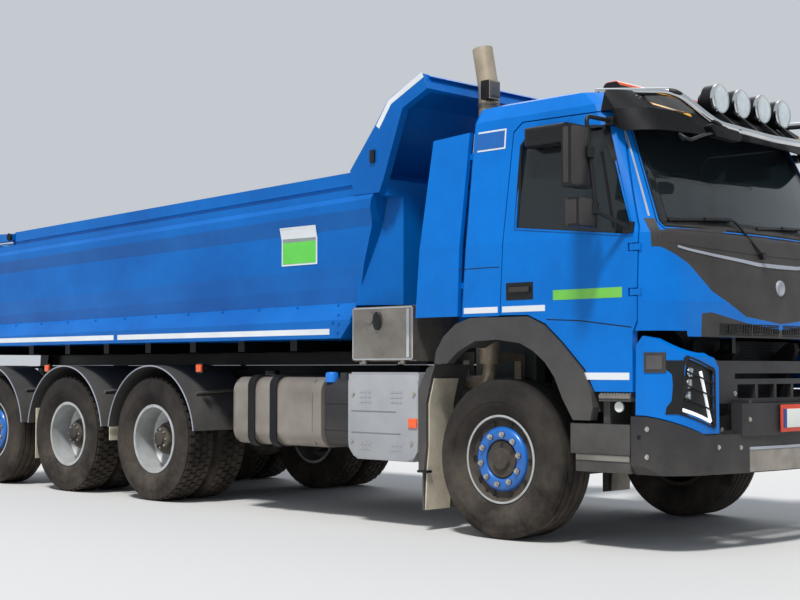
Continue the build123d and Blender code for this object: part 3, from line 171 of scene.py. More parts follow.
# Vulcanised tyre rubber: no shine, brown where it is dusty
RUBBER = Finish("tyre_rubber", "#2A2624", "#1F1C1B", Coat.MOULDED, rough=0.85, gloss=0.25, cloud_mm=160,
                grain_mm=7, bump=0.35, dust=0.4, dust_top=1.05)
# Silver enamel on steel rims: pale and satin, clouded by brake dust
SILVER = Finish("silver_wheel_enamel", "#C2C4C5", "#ACADA9", rough=0.38, metallic=0.3, cloud_mm=120, bump=0.08,
                dust=0.3, dust_top=0.7)
# The steered wheels' discs, enamel buried under road dirt: dark brown, no shine
DARK_WHEEL = Finish("dusty_wheel_disc", "#38302A", "#26221F", rough=0.75, cloud_mm=90, grain_mm=8, bump=0.3,
                    dust=0.5, dust_top=0.9)
# Blue enamel of the nut ring: clean and glossy between the dirt
WHEEL_BLUE = Finish("blue_wheel_ring", "#0F69BE", "#0C58A4", rough=0.32, clear=0.4, cloud_mm=150, dust=0.15,
                    dust_top=0.6)
# Zinc-plated steel of nuts and bolts: small bright points
NUT = Finish("zinc_plated_nut", "#C9C5BE", "#A49F97", Coat.BRUSHED, rough=0.35, metallic=0.85, cloud_mm=40)
# Rolled aluminium sheet of the fuel tanks: brownish grey through its oxide and dust
TANK = Finish("tank_aluminium", "#968D84", "#80776E", Coat.BRUSHED, rough=0.4, metallic=0.3, cloud_mm=420,
              dust=0.3, dust_top=0.9)
# Powder-coated pressed cover of the silencer: even light grey, with painted shadow in its grooves
COVER = Finish("silencer_cover_grey", "#A6A7A9", "#999A9D", rough=0.42, metallic=0.05, bump=0.06, dust=0.15,
               dust_top=0.8)
GROOVE = Finish("cover_shadow_groove", "#7D8184", "#72767A", rough=0.6)
# Brushed stainless sheet: long soft streaks of reflection
STEEL = Finish("brushed_stainless_sheet", "#948E86", "#726D67", Coat.BRUSHED, rough=0.27, metallic=0.6,
               cloud_mm=340)
# Exhaust pipe browned by heat: straw colour, satin
STACK = Finish("heat_stained_pipe", "#B5A68F", "#9A8A75", Coat.BRUSHED, rough=0.42, metallic=0.4, cloud_mm=180)
# Chrome plate on tubes, rims and hoist stages: sharp reflections
CHROME = Finish("chrome_plate", "#D6D8DA", "#BFC2C5", Coat.BRUSHED, rough=0.1, metallic=1.0, cloud_mm=300)
# Anodised aluminium of the skid plate: scuffed and dusty
SKID = Finish("skid_plate_aluminium", "#A29A90", "#8B847B", Coat.BRUSHED, rough=0.45, metallic=0.3, cloud_mm=160,
              dust=0.5, dust_top=0.7)
# Vacuum-metallised lamp bowls, with a faint painted glow that stands in for the daylight they reflect
LAMP_BOWL = Finish("lamp_reflector", "#F0F2F4", "#C7CBD0", Coat.BRUSHED, rough=0.2, metallic=0.3, cloud_mm=60,
                   glow=0.42)
HEAD_BOWL = Finish("headlamp_reflector", "#E3E7EB", "#BFC5CC", Coat.BRUSHED, rough=0.15, metallic=0.7, cloud_mm=40)
# Light guide behind the headlamp's glass: milky white
DAY_LIGHT = Finish("day_light_strip", "#F2F4F6", "#E4E7EA", rough=0.2, glow=0.45)
# Cast rubber of the mud flaps: beige with dried mud
FLAP = Finish("beige_flap_rubber", "#D6CBB5", "#BDB19B", Coat.MOULDED, rough=0.8, cloud_mm=140, grain_mm=8,
              bump=0.2, dust=0.1, dust_top=0.5)
# Retroreflective tape: white, with the cells of its film drawn coarse enough to show
TAPE = Finish("white_marking_tape", "#E4E6E8", "#D6D9DC", Coat.WOVEN, rough=0.35, grain_mm=9, bump=0.08)
# Moulded polycarbonate lenses with their prisms: deep colour, clear top, and a faint painted glow for the daylight
# inside
ORANGE = Finish("orange_marker_lens", "#EE5A12", "#D94A0A", Coat.MOULDED, rough=0.15, clear=0.8, grain_mm=12,
                bump=0.15, glow=0.12)
RED_LENS = Finish("red_lamp_lens", "#B3131A", "#930D13", Coat.MOULDED, rough=0.15, clear=0.8, grain_mm=12,
                  bump=0.15, glow=0.1)
SMOKED = Finish("smoked_indicator_lens", "#4E4A48", "#3D3937", Coat.MOULDED, rough=0.12, clear=0.8)
# Cut vinyl film: flat clean colour with a thin shine
YELLOW = Finish("yellow_visor_strip", "#EBA915", "#D9950D", rough=0.3, clear=0.4)
GREEN = Finish("green_door_band", "#7CCB4E", "#69BC43", rough=0.35, clear=0.3)
# Silver-grey lacquer on the trim strips: metallic, satin
STRIP = Finish("light_grey_strip", "#A7ABB4", "#999DA6", rough=0.35, metallic=0.2)
# Enamelled sheet of signs and plates: flat and even
SIGN = Finish("green_sign_plate", "#66CF52", "#55BE45", rough=0.4, cloud_mm=400)
SIGN_GREY = Finish("grey_sign_field", "#8E9A96", "#7F8B88", rough=0.4)
PLATE = Finish("blank_white_plate", "#E4E6DF", "#D9DBD4", rough=0.35)
PLATE_RED = Finish("orange_plate_frame", "#D8472A", "#C53E23", rough=0.4)
PLATE_BLUE = Finish("blank_blue_plate", "#1565B4", "#125AA4", rough=0.35)
PLATE_BAND = Finish("dark_blue_plate_band", "#1B3A8C", "#17327A", rough=0.35)
# Moulded polyethylene cap of the small tank: bright blue, waxy
BLUE_CAP = Finish("blue_tank_cap", "#1F7FE0", "#186CC4", Coat.MOULDED, rough=0.35)
# Laminated safety glass, tinted: dark from outside; and the lamps' clear glass
GLASS = Finish("tinted_window_glass", "#5C6B70", "#5C6B70", Coat.GLASS, rough=0.02)
LENS = Finish("clear_lamp_lens", "#E6ECEE", "#E6ECEE", Coat.GLASS, rough=0.03)
# Silvered glass of the mirrors: an exact reflection
MIRROR = Finish("mirror_glass", "#C9CED2", "#C2C7CB", Coat.BRUSHED, rough=0.03, metallic=1.0, cloud_mm=900)
# Moulded dash plastic and woven polyester of the seats: dark and dull behind the glass
TRIM = Finish("dark_cabin_trim", "#2E2F33", "#242529", Coat.MOULDED, rough=0.7, grain_mm=3, bump=0.15)
CLOTH = Finish("woven_seat_cloth", "#3A3D45", "#2A2C33", Coat.WOVEN, rough=0.9, grain_mm=5, bump=0.4)
# Dried road dust, and the black that the cab and the bed turn below a set height
ROAD_DUST, BLACK_BELOW = "#8C8071", "#0B0B0C"
# A Mix node's colour sockets by number
MIX_A, MIX_B, MIX_OUT = 6, 7, 2


def srgb(code: str) -> tuple[float, float, float, float]:
    """Turn an sRGB hex colour to linear.

    Args:
        code: The colour as #RRGGBB.

    Returns:
        Red, green, blue and alpha in linear light.
    """
    parts = [int(code[i:i + 2], 16) / 255 for i in (1, 3, 5)]
    linear = [c / 12.92 if c <= 0.04045 else ((c + 0.055) / 1.055) ** 2.4 for c in parts]
    return (linear[0], linear[1], linear[2], 1.0)


def put(tree: bpy.types.NodeTree, kind: str, settings: dict | None = None,
        inputs: dict | None = None) -> bpy.types.Node:
    """Add one node.

    Args:
        tree: The tree that gets the node.
        kind: The node's type.
        settings: Properties by name.
        inputs: Values, or sockets to link from, by the input's name or number.

    Returns:
        The new node.
    """
    node = tree.nodes.new(kind)
    for key, value in (settings or {}).items():
        setattr(node, key, value)
    for key, value in (inputs or {}).items():
        if isinstance(value, bpy.types.NodeSocket):
            tree.links.new(value, node.inputs[key])
        else:
            node.inputs[key].default_value = value
    return node


class Paintbox:
    """Builds each finish once and hands out its material."""

    def __init__(self) -> None:
        """Start with no materials."""
        self.made: dict[str, bpy.types.Material] = {}

    def material(self, finish: Finish) -> bpy.types.Material:
        """Give a finish's material, built on its first use.

        Args:
            finish: The finish wanted.

        Returns:
            Its material.
        """
        if finish.name not in self.made:
            self.made[finish.name] = self._glass(finish) if finish.coat is Coat.GLASS else self._solid(finish)
        return self.made[finish.name]

    @staticmethod
    def _glass(finish: Finish) -> bpy.types.Material:
        """Make a clear or tinted glass.

        Args:
            finish: The glass.

        Returns:
            Its material.
        """
        material = bpy.data.materials.new(finish.name)
        material.use_nodes = True
        shader = material.node_tree.nodes["Principled BSDF"]
        shader.inputs["Base Color"].default_value = srgb(finish.colour)
        shader.inputs["Roughness"].default_value = finish.rough
        shader.inputs["IOR"].default_value = 1.45
        shader.inputs["Transmission Weight"].default_value = 0.9
        return material

    def _solid(self, finish: Finish) -> bpy.types.Material:
        """Make an opaque finish: clouded colour, grain, and dust that thickens downwards.

        Args:
            finish: The finish.

        Returns:
            Its material.
        """
        material = bpy.data.materials.new(finish.name)
        material.use_nodes = True
        tree = material.node_tree
        shader = tree.nodes["Principled BSDF"]
        place = put(tree, "ShaderNodeTexCoord").outputs["Object"]
        stretch = (1.0, 1.0, 9.0 if finish.coat is Coat.BRUSHED else 1.0)
        mapped = put(tree, "ShaderNodeMapping", inputs={"Vector": place, "Scale": stretch}).outputs["Vector"]
        cloud = put(tree, "ShaderNodeTexNoise", inputs={
            "Vector": place, "Scale": 1000 / finish.cloud_mm, "Detail": 6.0, "Roughness": 0.6})
        fine = put(tree, "ShaderNodeTexNoise", inputs={
            "Vector": mapped, "Scale": 1000 / finish.grain_mm, "Detail": 3.0})
        if finish.coat is Coat.WOVEN:
            fine = put(tree, "ShaderNodeTexVoronoi", inputs={"Vector": place, "Scale": 1000 / finish.grain_mm})
        tint = put(tree, "ShaderNodeMapRange", inputs={
            "Value": cloud.outputs["Fac"], "From Min": 0.38, "From Max": 0.66})
        colour = put(tree, "ShaderNodeMix", {"data_type": "RGBA"}, {
            "Factor": tint.outputs[0], MIX_A: srgb(finish.colour), MIX_B: srgb(finish.shade)})
        colour_out = colour.outputs[MIX_OUT]
        spread = put(tree, "ShaderNodeMapRange", inputs={
            "Value": cloud.outputs["Fac"], "From Min": 0.3, "From Max": 0.7,
            "To Min": max(0.02, finish.rough - 0.06), "To Max": min(1.0, finish.rough + 0.1)})
        rough_out = spread.outputs[0]
        if finish.dust > 0:
            height = put(tree, "ShaderNodeSeparateXYZ", inputs={"Vector": place}).outputs["Z"]
            fall = put(tree, "ShaderNodeMapRange", inputs={
                "Value": height, "From Min": finish.dust_top, "From Max": 0.1})
            patch = put(tree, "ShaderNodeTexNoise", inputs={
                "Vector": place, "Scale": 3.4, "Detail": 8.0, "Roughness": 0.68})
            mask = put(tree, "ShaderNodeMapRange", inputs={
                "Value": patch.outputs["Fac"], "From Min": 0.35, "From Max": 0.7, "To Max": finish.dust})
            amount = put(tree, "ShaderNodeMath", {"operation": "MULTIPLY"}, {0: fall.outputs[0], 1: mask.outputs[0]})
            colour = put(tree, "ShaderNodeMix", {"data_type": "RGBA"}, {
                "Factor": amount.outputs[0], MIX_A: colour_out, MIX_B: srgb(ROAD_DUST)})
            colour_out = colour.outputs[MIX_OUT]
            rough = put(tree, "ShaderNodeMath", {"operation": "ADD", "use_clamp": True}, {
                0: rough_out, 1: amount.outputs[0]})
            rough_out = rough.outputs[0]
        if finish.under > 0:
            height = put(tree, "ShaderNodeSeparateXYZ", inputs={"Vector": place}).outputs["Z"]
            low = put(tree, "ShaderNodeMapRange", inputs={
                "Value": height, "From Min": finish.under + 2 * MM, "From Max": finish.under - 2 * MM})
            colour = put(tree, "ShaderNodeMix", {"data_type": "RGBA"}, {
                "Factor": low.outputs[0], MIX_A: colour_out, MIX_B: srgb(BLACK_BELOW)})
            colour_out = colour.outputs[MIX_OUT]
        if finish.inner > 0:
            colour_out = self._scoured(tree, place, finish, colour_out)
        bump = put(tree, "ShaderNodeBump", inputs={
            "Height": fine.outputs[0], "Strength": finish.bump, "Distance": finish.grain_mm * MM * 0.3})
        tree.links.new(colour_out, shader.inputs["Base Color"])
        tree.links.new(rough_out, shader.inputs["Roughness"])
        tree.links.new(bump.outputs["Normal"], shader.inputs["Normal"])
        for name, value in (("Metallic", finish.metallic), ("Specular IOR Level", finish.gloss),
                            ("Coat Weight", finish.clear), ("Coat Roughness", 0.08)):
            shader.inputs[name].default_value = value
        if finish.glow > 0:
            shader.inputs["Emission Color"].default_value = srgb(finish.colour)
            shader.inputs["Emission Strength"].default_value = finish.glow
        return material

    @staticmethod
    def _scoured(tree: bpy.types.NodeTree, place: bpy.types.NodeSocket, finish: Finish,
                 paint: bpy.types.NodeSocket) -> bpy.types.NodeSocket:
        """Wear the paint off the faces that look into the load space.

        Args:
            tree: The material's tree.
            place: Object coordinates.
            finish: The outer paint; its field inner is the half width of the load space in metres.
            paint: The outer colour.

        Returns:
            The colour with its worn part.
        """
        spot = put(tree, "ShaderNodeSeparateXYZ", inputs={"Vector": place})
        normal = put(tree, "ShaderNodeNewGeometry").outputs["Normal"]
        faces = put(tree, "ShaderNodeSeparateXYZ", inputs={"Vector": normal})
        wide = put(tree, "ShaderNodeMath", {"operation": "ABSOLUTE"}, {0: spot.outputs["Y"]})
        within = put(tree, "ShaderNodeMath", {"operation": "LESS_THAN"}, {0: wide.outputs[0], 1: finish.inner + 0.045})
        inward = put(tree, "ShaderNodeMath", {"operation": "MULTIPLY"}, {0: spot.outputs["Y"], 1: faces.outputs["Y"]})
        turned = put(tree, "ShaderNodeMapRange", inputs={
            "Value": inward.outputs[0], "From Min": -0.02, "From Max": -0.3})
        floor = put(tree, "ShaderNodeMapRange", inputs={
            "Value": faces.outputs["Z"], "From Min": 0.7, "From Max": 0.9})
        deep = put(tree, "ShaderNodeMath", {"operation": "LESS_THAN"}, {0: wide.outputs[0], 1: finish.inner - 0.02})
        bottom = put(tree, "ShaderNodeMath", {"operation": "MULTIPLY"}, {0: floor.outputs[0], 1: deep.outputs[0]})
        either = put(tree, "ShaderNodeMath", {"operation": "MAXIMUM"}, {0: turned.outputs[0], 1: bottom.outputs[0]})
        height = put(tree, "ShaderNodeMapRange", inputs={
            "Value": spot.outputs["Z"], "From Min": 2.36, "From Max": 2.2})
        low = put(tree, "ShaderNodeMath", {"operation": "MULTIPLY"}, {0: either.outputs[0], 1: height.outputs[0]})
        mask = put(tree, "ShaderNodeMath", {"operation": "MULTIPLY"}, {0: low.outputs[0], 1: within.outputs[0]})
        patch = put(tree, "ShaderNodeTexNoise", inputs={
            "Vector": place, "Scale": 1000 / BED_WORN.cloud_mm, "Detail": 8.0, "Roughness": 0.65})
        bare = put(tree, "ShaderNodeMapRange", inputs={
            "Value": patch.outputs["Fac"], "From Min": 0.36, "From Max": 0.6})
        worn = put(tree, "ShaderNodeMix", {"data_type": "RGBA"}, {
            "Factor": bare.outputs[0], MIX_A: srgb(BED_WORN.shade), MIX_B: srgb(BED_WORN.colour)})
        mixed = put(tree, "ShaderNodeMix", {"data_type": "RGBA"}, {
            "Factor": mask.outputs[0], MIX_A: paint, MIX_B: worn.outputs[MIX_OUT]})
        return mixed.outputs[MIX_OUT]


PAINTBOX = Paintbox()


class Place:
    """Turns millimetres from the front axle into the frame's metres."""

    offset: float = 0.0

    @classmethod
    def at(cls, x: float, y: float, z: float) -> Vector:
        """Give the frame's point for a place on the truck."""
        return Vector((x * MM + cls.offset, y * MM, z * MM))

    @classmethod
    def back(cls, point: Vector) -> Point:
        """Give the place on the truck of a point of the frame."""
        return ((point.x - cls.offset) / MM, point.y / MM, point.z / MM)


class Skin:
    """The outer surface of some CAD nodes, for laying trim on it."""

    def __init__(self, frame: dict, *nodes: str) -> None:
        """Collect the nodes' faces in one search tree.

        Args:
            frame: The loaded frame.
            nodes: The nodes' names.
        """
        verts: list[Vector] = []
        faces: list[tuple[int, ...]] = []
        for node in nodes:
            mesh = frame["nodes"][node].data
            base = len(verts)
            verts += [v.co.copy() for v in mesh.vertices]
            faces += [tuple(base + i for i in p.vertices) for p in mesh.polygons]
        self.tree = BVHTree.FromPolygons(verts, faces)

    def lay(self, u: float, v: float, plane: Plane, lift: float, miss: float | None = None) -> Vector:
        """Drop a point on the surface.

        Args:
            u: X for a side or the top, Y for the front, in millimetres.
            v: Z, or Y for the top, in millimetres.
            plane: The direction of the drop.
            lift: Millimetres above the surface.
            miss: The coordinate along the drop where nothing is hit, if not the plane's own.

        Returns:
            The point in the frame.
        """
        def spot(depth: float) -> Vector:
            """Give the place at a depth along the drop."""
            return Place.at(*{Plane.RIGHT: (u, depth, v), Plane.TOP: (u, v, depth), Plane.FRONT: (depth, u, v)}[plane])
        way = Vector(plane.value)
        hit = self.tree.ray_cast(spot(DROP_FROM[plane]), way)[0]
        if hit is None:
            hit = spot(DROP_TO[plane] if miss is None else miss)
        return hit - way * lift * MM

    def studs(self, spots: Iterable[Pair], plane: Plane, mirror: bool = True) -> list[Stud]:
        """Give the places of small repeats that stand on the surface.

        Args:
            spots: Their places as seen along the plane's direction.
            plane: The direction of the drop.
            mirror: Whether each has a fellow on the truck's other side.

        Returns:
            Places, each with the direction away from the surface.
        """
        result = []
        flip = Vector((1, -1, 1))
        for u, v in spots:
            hit, way = self.lay(u, v, plane, 0.5), -Vector(plane.value)
            result += [(hit, way), (hit * flip, way * flip)] if mirror else [(hit, way)]
        return result


class Form:
    """One piece's mesh while it is built, in millimetres from the front axle at ground level."""

    def __init__(self) -> None:
        """Start with an empty mesh."""
        self.bm = bmesh.new()

    def _solid(self, verts: list[Point], faces: list[tuple[int, ...]], bevel: float) -> None:
        """Add a closed solid.

        Args:
            verts: Its corners.
            faces: Its faces as the corners' numbers.
            bevel: The radius that rounds its sharp edges, or 0.
        """
        made = [self.bm.verts.new(Place.at(*v)) for v in verts]
        new_faces = [self.bm.faces.new([made[i] for i in f]) for f in faces]
        bmesh.ops.recalc_face_normals(self.bm, faces=new_faces)
        if bevel > 0:
            edges = {e for f in new_faces for e in f.edges if e.is_manifold and e.calc_face_angle(0) > 0.5}
            bmesh.ops.bevel(self.bm, geom=list(edges), offset=bevel * MM, segments=2, profile=0.6, affect="EDGES")

    def box(self, x: Pair, y: Pair, z: Pair, bevel: float = 0.0) -> Form:
        """Add a block between pairs of X, Y and Z."""
        outline = [(x[0], z[0]), (x[1], z[0]), (x[1], z[1]), (x[0], z[1])]
        return self.prism("y", outline, y[0], y[1], bevel)

    def prism(self, axis: str, outline: list[Pair], a: float, b: float, bevel: float = 0.0) -> Form:
        """Add an outline drawn out along an axis.

        Args:
            axis: x, y or z.
            outline: Points (y, z), (x, z) or (x, y).
            a: Start along the axis.
            b: End along the axis.
            bevel: The radius that rounds its edges.

        Returns:
            This form.
        """
        def point(u: float, v: float, t: float) -> Point:
            """Give a corner from its place in the outline and along the axis."""
            return {"x": (t, u, v), "y": (u, t, v), "z": (u, v, t)}[axis]
        n = len(outline)
        verts = [point(u, v, a) for u, v in outline] + [point(u, v, b) for u, v in outline]
        faces: list[tuple[int, ...]] = [tuple(range(n)), tuple(range(n, 2 * n))]
        faces += [(i, (i + 1) % n, n + (i + 1) % n, n + i) for i in range(n)]
        self._solid(verts, faces, bevel)
        return self

    def lathe(self, profile: list[Pair], centre: Point, segments: int, axis: str = "y",
              scale: Pair = (1.0, 1.0)) -> Form:
        """Turn a closed profile about a line.

        Args:
            profile: Points (along the axis, radius).
            centre: The point on the axis that the profile is counted from.
            segments: Faces round the turn.
            axis: x, y or z.
            scale: Stretch of the circle's two directions.

        Returns:
            This form.
        """
        rings = []
        for reach, radius in profile:
            ring = []
            for k in range(segments if radius > 0.01 else 1):
                turn = 2 * math.pi * k / segments
                c, s = radius * math.cos(turn) * scale[0], radius * math.sin(turn) * scale[1]
                offset = {"y": (c, reach, s), "x": (reach, c, s), "z": (c, s, reach)}[axis]
                ring.append(self.bm.verts.new(Place.at(*(centre[i] + offset[i] for i in range(3)))))
            rings.append(ring)
        faces = []
        for a, b in zip(rings, rings[1:] + rings[:1]):
            if len(a) == 1 and len(b) == 1:
                continue
            for k in range(segments):
                m = (k + 1) % segments
                corners = [a[k % len(a)], a[m % len(a)], b[m % len(b)], b[k % len(b)]]
                corners = [v for j, v in enumerate(corners) if v not in corners[:j]]
                faces.append(self.bm.faces.new(corners))
        bmesh.ops.recalc_face_normals(self.bm, faces=faces)
        return self

    def tube(self, points: list[Point], radius: float, bend: float = 40.0, sides: int = 12) -> Form:
        """Add a round bar along straight runs with rounded corners.

        Args:
            points: Ends and corners.
            radius: The bar's radius.
            bend: How far from a corner the rounding starts.
            sides: Faces round the bar.

        Returns:
            This form.
        """
        path = self._rounded([Vector(p) for p in points], bend)
        rings = []
        up = Vector((0, 0, 1)) if abs((path[1] - path[0]).normalized().z) < 0.9 else Vector((1, 0, 0))
        for i, spot in enumerate(path):
            way = (path[min(i + 1, len(path) - 1)] - path[max(i - 1, 0)]).normalized()
            side = way.cross(up).normalized()
            up = side.cross(way).normalized()
            ring = []
            for k in range(sides):
                turn = 2 * math.pi * k / sides
                v = spot + (side * math.cos(turn) + up * math.sin(turn)) * radius
                ring.append(self.bm.verts.new(Place.at(*v)))
            rings.append(ring)
        faces = [self.bm.faces.new(rings[0]), self.bm.faces.new(rings[-1])]
        for a, b in zip(rings, rings[1:]):
            for k in range(sides):
                m = (k + 1) % sides
                faces.append(self.bm.faces.new((a[k], a[m], b[m], b[k])))
        bmesh.ops.recalc_face_normals(self.bm, faces=faces)
        return self

    @staticmethod
    def _rounded(points: list[Vector], bend: float) -> list[Vector]:
        """Round a path's corners.

        Args:
            points: Ends and corners.
            bend: How far from a corner the rounding starts.

        Returns:
            The path with six points in place of each corner.
        """
        path = [points[0]]
        for before, here, after in zip(points, points[1:], points[2:]):
            a, b = before - here, after - here
            cut = min(bend, a.length * 0.48, b.length * 0.48)
            start, end = here + a.normalized() * cut, here + b.normalized() * cut
            path += [start.lerp(here, t).lerp(here.lerp(end, t), t) for t in (0, 0.2, 0.4, 0.6, 0.8, 1.0)]
        return path + [points[-1]]

    def drape(self, skin: Skin, rows: list[list[Pair]], plane: Plane, lift: float, thick: float,
              closed: bool = False, miss: float | None = None) -> Form:
        """Lay a thin sheet on a surface.

        Args:
            skin: The surface.
            rows: Grid of points as seen along the plane's direction.
            plane: The direction of the drop.
            lift: The sheet's outer face above the surface.
            thick: Its thickness.
            closed: Whether each row joins its own start.
            miss: The coordinate along the drop where nothing is hit, if not the plane's own.

        Returns:
            This form.
        """
        outer = [[self.bm.verts.new(skin.lay(u, v, plane, lift, miss)) for u, v in row] for row in rows]
        inner = [[self.bm.verts.new(v.co + Vector(plane.value) * thick * MM) for v in row] for row in outer]
        faces = []
        n, m = len(rows), len(rows[0])
        spans = range(m) if closed else range(m - 1)
        for i in range(n - 1):
            for j in spans:
                k = (j + 1) % m
                faces.append(self.bm.faces.new((outer[i][j], outer[i][k], outer[i + 1][k], outer[i + 1][j])))
                faces.append(self.bm.faces.new((inner[i][j], inner[i + 1][j], inner[i + 1][k], inner[i][k])))
        for j in spans:
            k = (j + 1) % m
            faces.append(self.bm.faces.new((outer[0][j], inner[0][j], inner[0][k], outer[0][k])))
            faces.append(self.bm.faces.new((outer[-1][j], outer[-1][k], inner[-1][k], inner[-1][j])))
        if not closed:
            for i in range(n - 1):
                faces.append(self.bm.faces.new((outer[i][0], outer[i + 1][0], inner[i + 1][0], inner[i][0])))
                faces.append(self.bm.faces.new((outer[i][-1], inner[i][-1], inner[i + 1][-1], outer[i + 1][-1])))
        bmesh.ops.recalc_face_normals(self.bm, faces=faces)
        return self

    def strip(self, skin: Skin, corners: Iterable[Pair], step: float, width: float, plane: Plane, lift: float,
              thick: float, closed: bool = False, miss: float | None = None) -> Form:
        """Lay a band of one width along a path on a surface.

        Args:
            skin: The surface.
            corners: The path's corners as seen along the plane's direction.
            step: The longest run between two points of the path.
            width: The band's width.
            plane: The direction of the drop.
            lift: The band's outer face above the surface.
            thick: Its thickness.
            closed: Whether the path joins its own start.
            miss: The coordinate along the drop where nothing is hit, if not the plane's own.

        Returns:
            This form.
        """
        points = [Vector(p) for p in divided(corners, step, closed)]
        count = len(points)
        left, right = [], []
        for i, here in enumerate(points):
            before = points[i - 1] if closed or i > 0 else here
            after = points[(i + 1) % count] if closed or i < count - 1 else here
            a = (here - before).normalized() if (here - before).length > 1e-6 else (after - here).normalized()
            b = (after - here).normalized() if (after - here).length > 1e-6 else a
            mean = (a + b).normalized()
            normal = Vector((-mean.y, mean.x))
            reach = width / 2 / max(0.35, normal.dot(Vector((-a.y, a.x))))
            left.append(tuple(here + normal * reach))
            right.append(tuple(here - normal * reach))
        return self.drape(skin, [left, right], plane, lift, thick, closed, miss)

    def mirrored(self) -> Form:
        """Copy the form to the truck's other side.

        Returns:
            The mirrored form.
        """
        other = Form()
        other.bm = self.bm.copy()
        for vert in other.bm.verts:
            vert.co.y = -vert.co.y
        bmesh.ops.reverse_faces(other.bm, faces=other.bm.faces)
        return other

    def piece(self, name: str, body: str, finish: Finish, smooth: float = 35.0) -> bpy.types.Object:
        """Finish the mesh as an object that rides on a body.

        Args:
            name: The object's name.
            body: The CAD body that it moves with.
            finish: Its surface finish.
            smooth: The angle in degrees up to which edges are shaded smooth.

        Returns:
            The object.
        """
        mesh = bpy.data.meshes.new(name)
        self.bm.to_mesh(mesh)
        self.bm.free()
        for polygon in mesh.polygons:
            polygon.use_smooth = True
        mesh.set_sharp_from_angle(angle=math.radians(smooth))
        return show(mesh, name, body, finish)

    def both(self, name: str, body: str, finish: Finish, smooth: float = 35.0) -> None:
        """Make a right and a left piece.

        Args:
            name: The pieces' name without the side.
            body: The CAD body, with {side} for the side that differs.
            finish: The surface finish.
            smooth: The angle in degrees up to which edges are shaded smooth.
        """
        left = self.mirrored()
        self.piece(f"{name}_right", body.format(side="right"), finish, smooth)
        left.piece(f"{name}_left", body.format(side="left"), finish, smooth)

    def twin(self, name: str, body: str, finish: Finish) -> None:
        """Make one piece of the form and its mirror image.

        Args:
            name: The object's name.
            body: The CAD body that it moves with.
            finish: Its surface finish.
        """
        other = self.mirrored()
        spare = bpy.data.meshes.new(name + "_spare")
        other.bm.to_mesh(spare)
        other.bm.free()
        self.bm.from_mesh(spare)
        bpy.data.meshes.remove(spare)
        self.piece(name, body, finish)


def paint(mesh: bpy.types.Mesh, finish: Finish) -> None:
    """Give a mesh one finish in place of what it has."""
    mesh.materials.clear()
    mesh.materials.append(PAINTBOX.material(finish))


def show(mesh: bpy.types.Mesh, name: str, body: str, finish: Finish) -> bpy.types.Object:
    """Put a mesh in the scene, riding on a body.

    Args:
        mesh: The mesh, in the frame's metres.
        name: The object's name.
        body: The CAD body that it moves with.
        finish: Its surface finish.

    Returns:
        The object.
    """
    paint(mesh, finish)
    piece = bpy.data.objects.new(name, mesh)
    bpy.context.scene.collection.objects.link(piece)
    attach(piece, body)
    LOG.info("%s on %s: %d faces", name, body, len(mesh.polygons))
    return piece


class Pattern:
    """A Geometry Nodes tree that repeats a small shape, applied to a plain mesh."""

    def __init__(self, name: str, inputs: dict[str, tuple[str, object]]) -> None:
        """Start the tree with its named inputs.

        Args:
            name: The tree's name.
            inputs: Socket type and default by input name.
        """
        self.tree = bpy.data.node_groups.new(name, "GeometryNodeTree")
        face = self.tree.interface
        face.new_socket("Geometry", in_out="INPUT", socket_type="NodeSocketGeometry")
        self.ids = {}
        for key, (kind, default) in inputs.items():
            socket = face.new_socket(key, in_out="INPUT", socket_type=kind)
            socket.default_value = default
            self.ids[key] = socket.identifier
        self.ids["Finish"] = face.new_socket("Finish", in_out="INPUT", socket_type="NodeSocketMaterial").identifier
        face.new_socket("Geometry", in_out="OUTPUT", socket_type="NodeSocketGeometry")
        self.source = put(self.tree, "NodeGroupInput")

    def stand(self, shape: bpy.types.NodeSocket) -> None:
        """Stand a shape on each point, its Z along the point's aim, and end the tree.

        Args:
            shape: The repeated shape.
        """
        aim = put(self.tree, "GeometryNodeInputNamedAttribute", {"data_type": "FLOAT_VECTOR"}, {"Name": "aim"})
        turn = put(self.tree, "FunctionNodeAlignRotationToVector", {"axis": "Z"}, {"Vector": aim.outputs[0]})
        spread = put(self.tree, "GeometryNodeInstanceOnPoints", inputs={
            "Points": self.source.outputs["Geometry"], "Instance": shape, "Rotation": turn.outputs[0]})
        real = put(self.tree, "GeometryNodeRealizeInstances", inputs={"Geometry": spread.outputs[0]})
        dressed = put(self.tree, "GeometryNodeSetMaterial", inputs={
            "Geometry": real.outputs[0], "Material": self.source.outputs["Finish"]})
        put(self.tree, "NodeGroupOutput", inputs={0: dressed.outputs[0]})

    def apply(self, studs: list[Stud], name: str, body: str, finish: Finish, **values: object) -> None:
        """Run the tree on points and keep the result as one piece.

        Args:
            studs: Places in the frame, each with the direction that the shape stands in.
            name: The new piece's name.
            body: The body that it rides on.
            finish: Its surface finish.
            values: Sizes by input name, in metres.
        """
        mesh = bpy.data.meshes.new(name + "_points")
        mesh.from_pydata([tuple(p) for p, _ in studs], [], [])
        aim = mesh.attributes.new("aim", "FLOAT_VECTOR", "POINT")
        for i, (_, way) in enumerate(studs):
            aim.data[i].vector = way
        host = bpy.data.objects.new(name + "_points", mesh)
        bpy.context.scene.collection.objects.link(host)
        modifier = host.modifiers.new(name, "NODES")
        modifier.node_group = self.tree
        for key, value in values.items():
            modifier[self.ids[key]] = value
        modifier[self.ids["Finish"]] = PAINTBOX.material(finish)
        graph = bpy.context.evaluated_depsgraph_get()
        result = bpy.data.meshes.new_from_object(host.evaluated_get(graph))
        bpy.data.objects.remove(host)
        result.name = name
        show(result, name, body, finish)


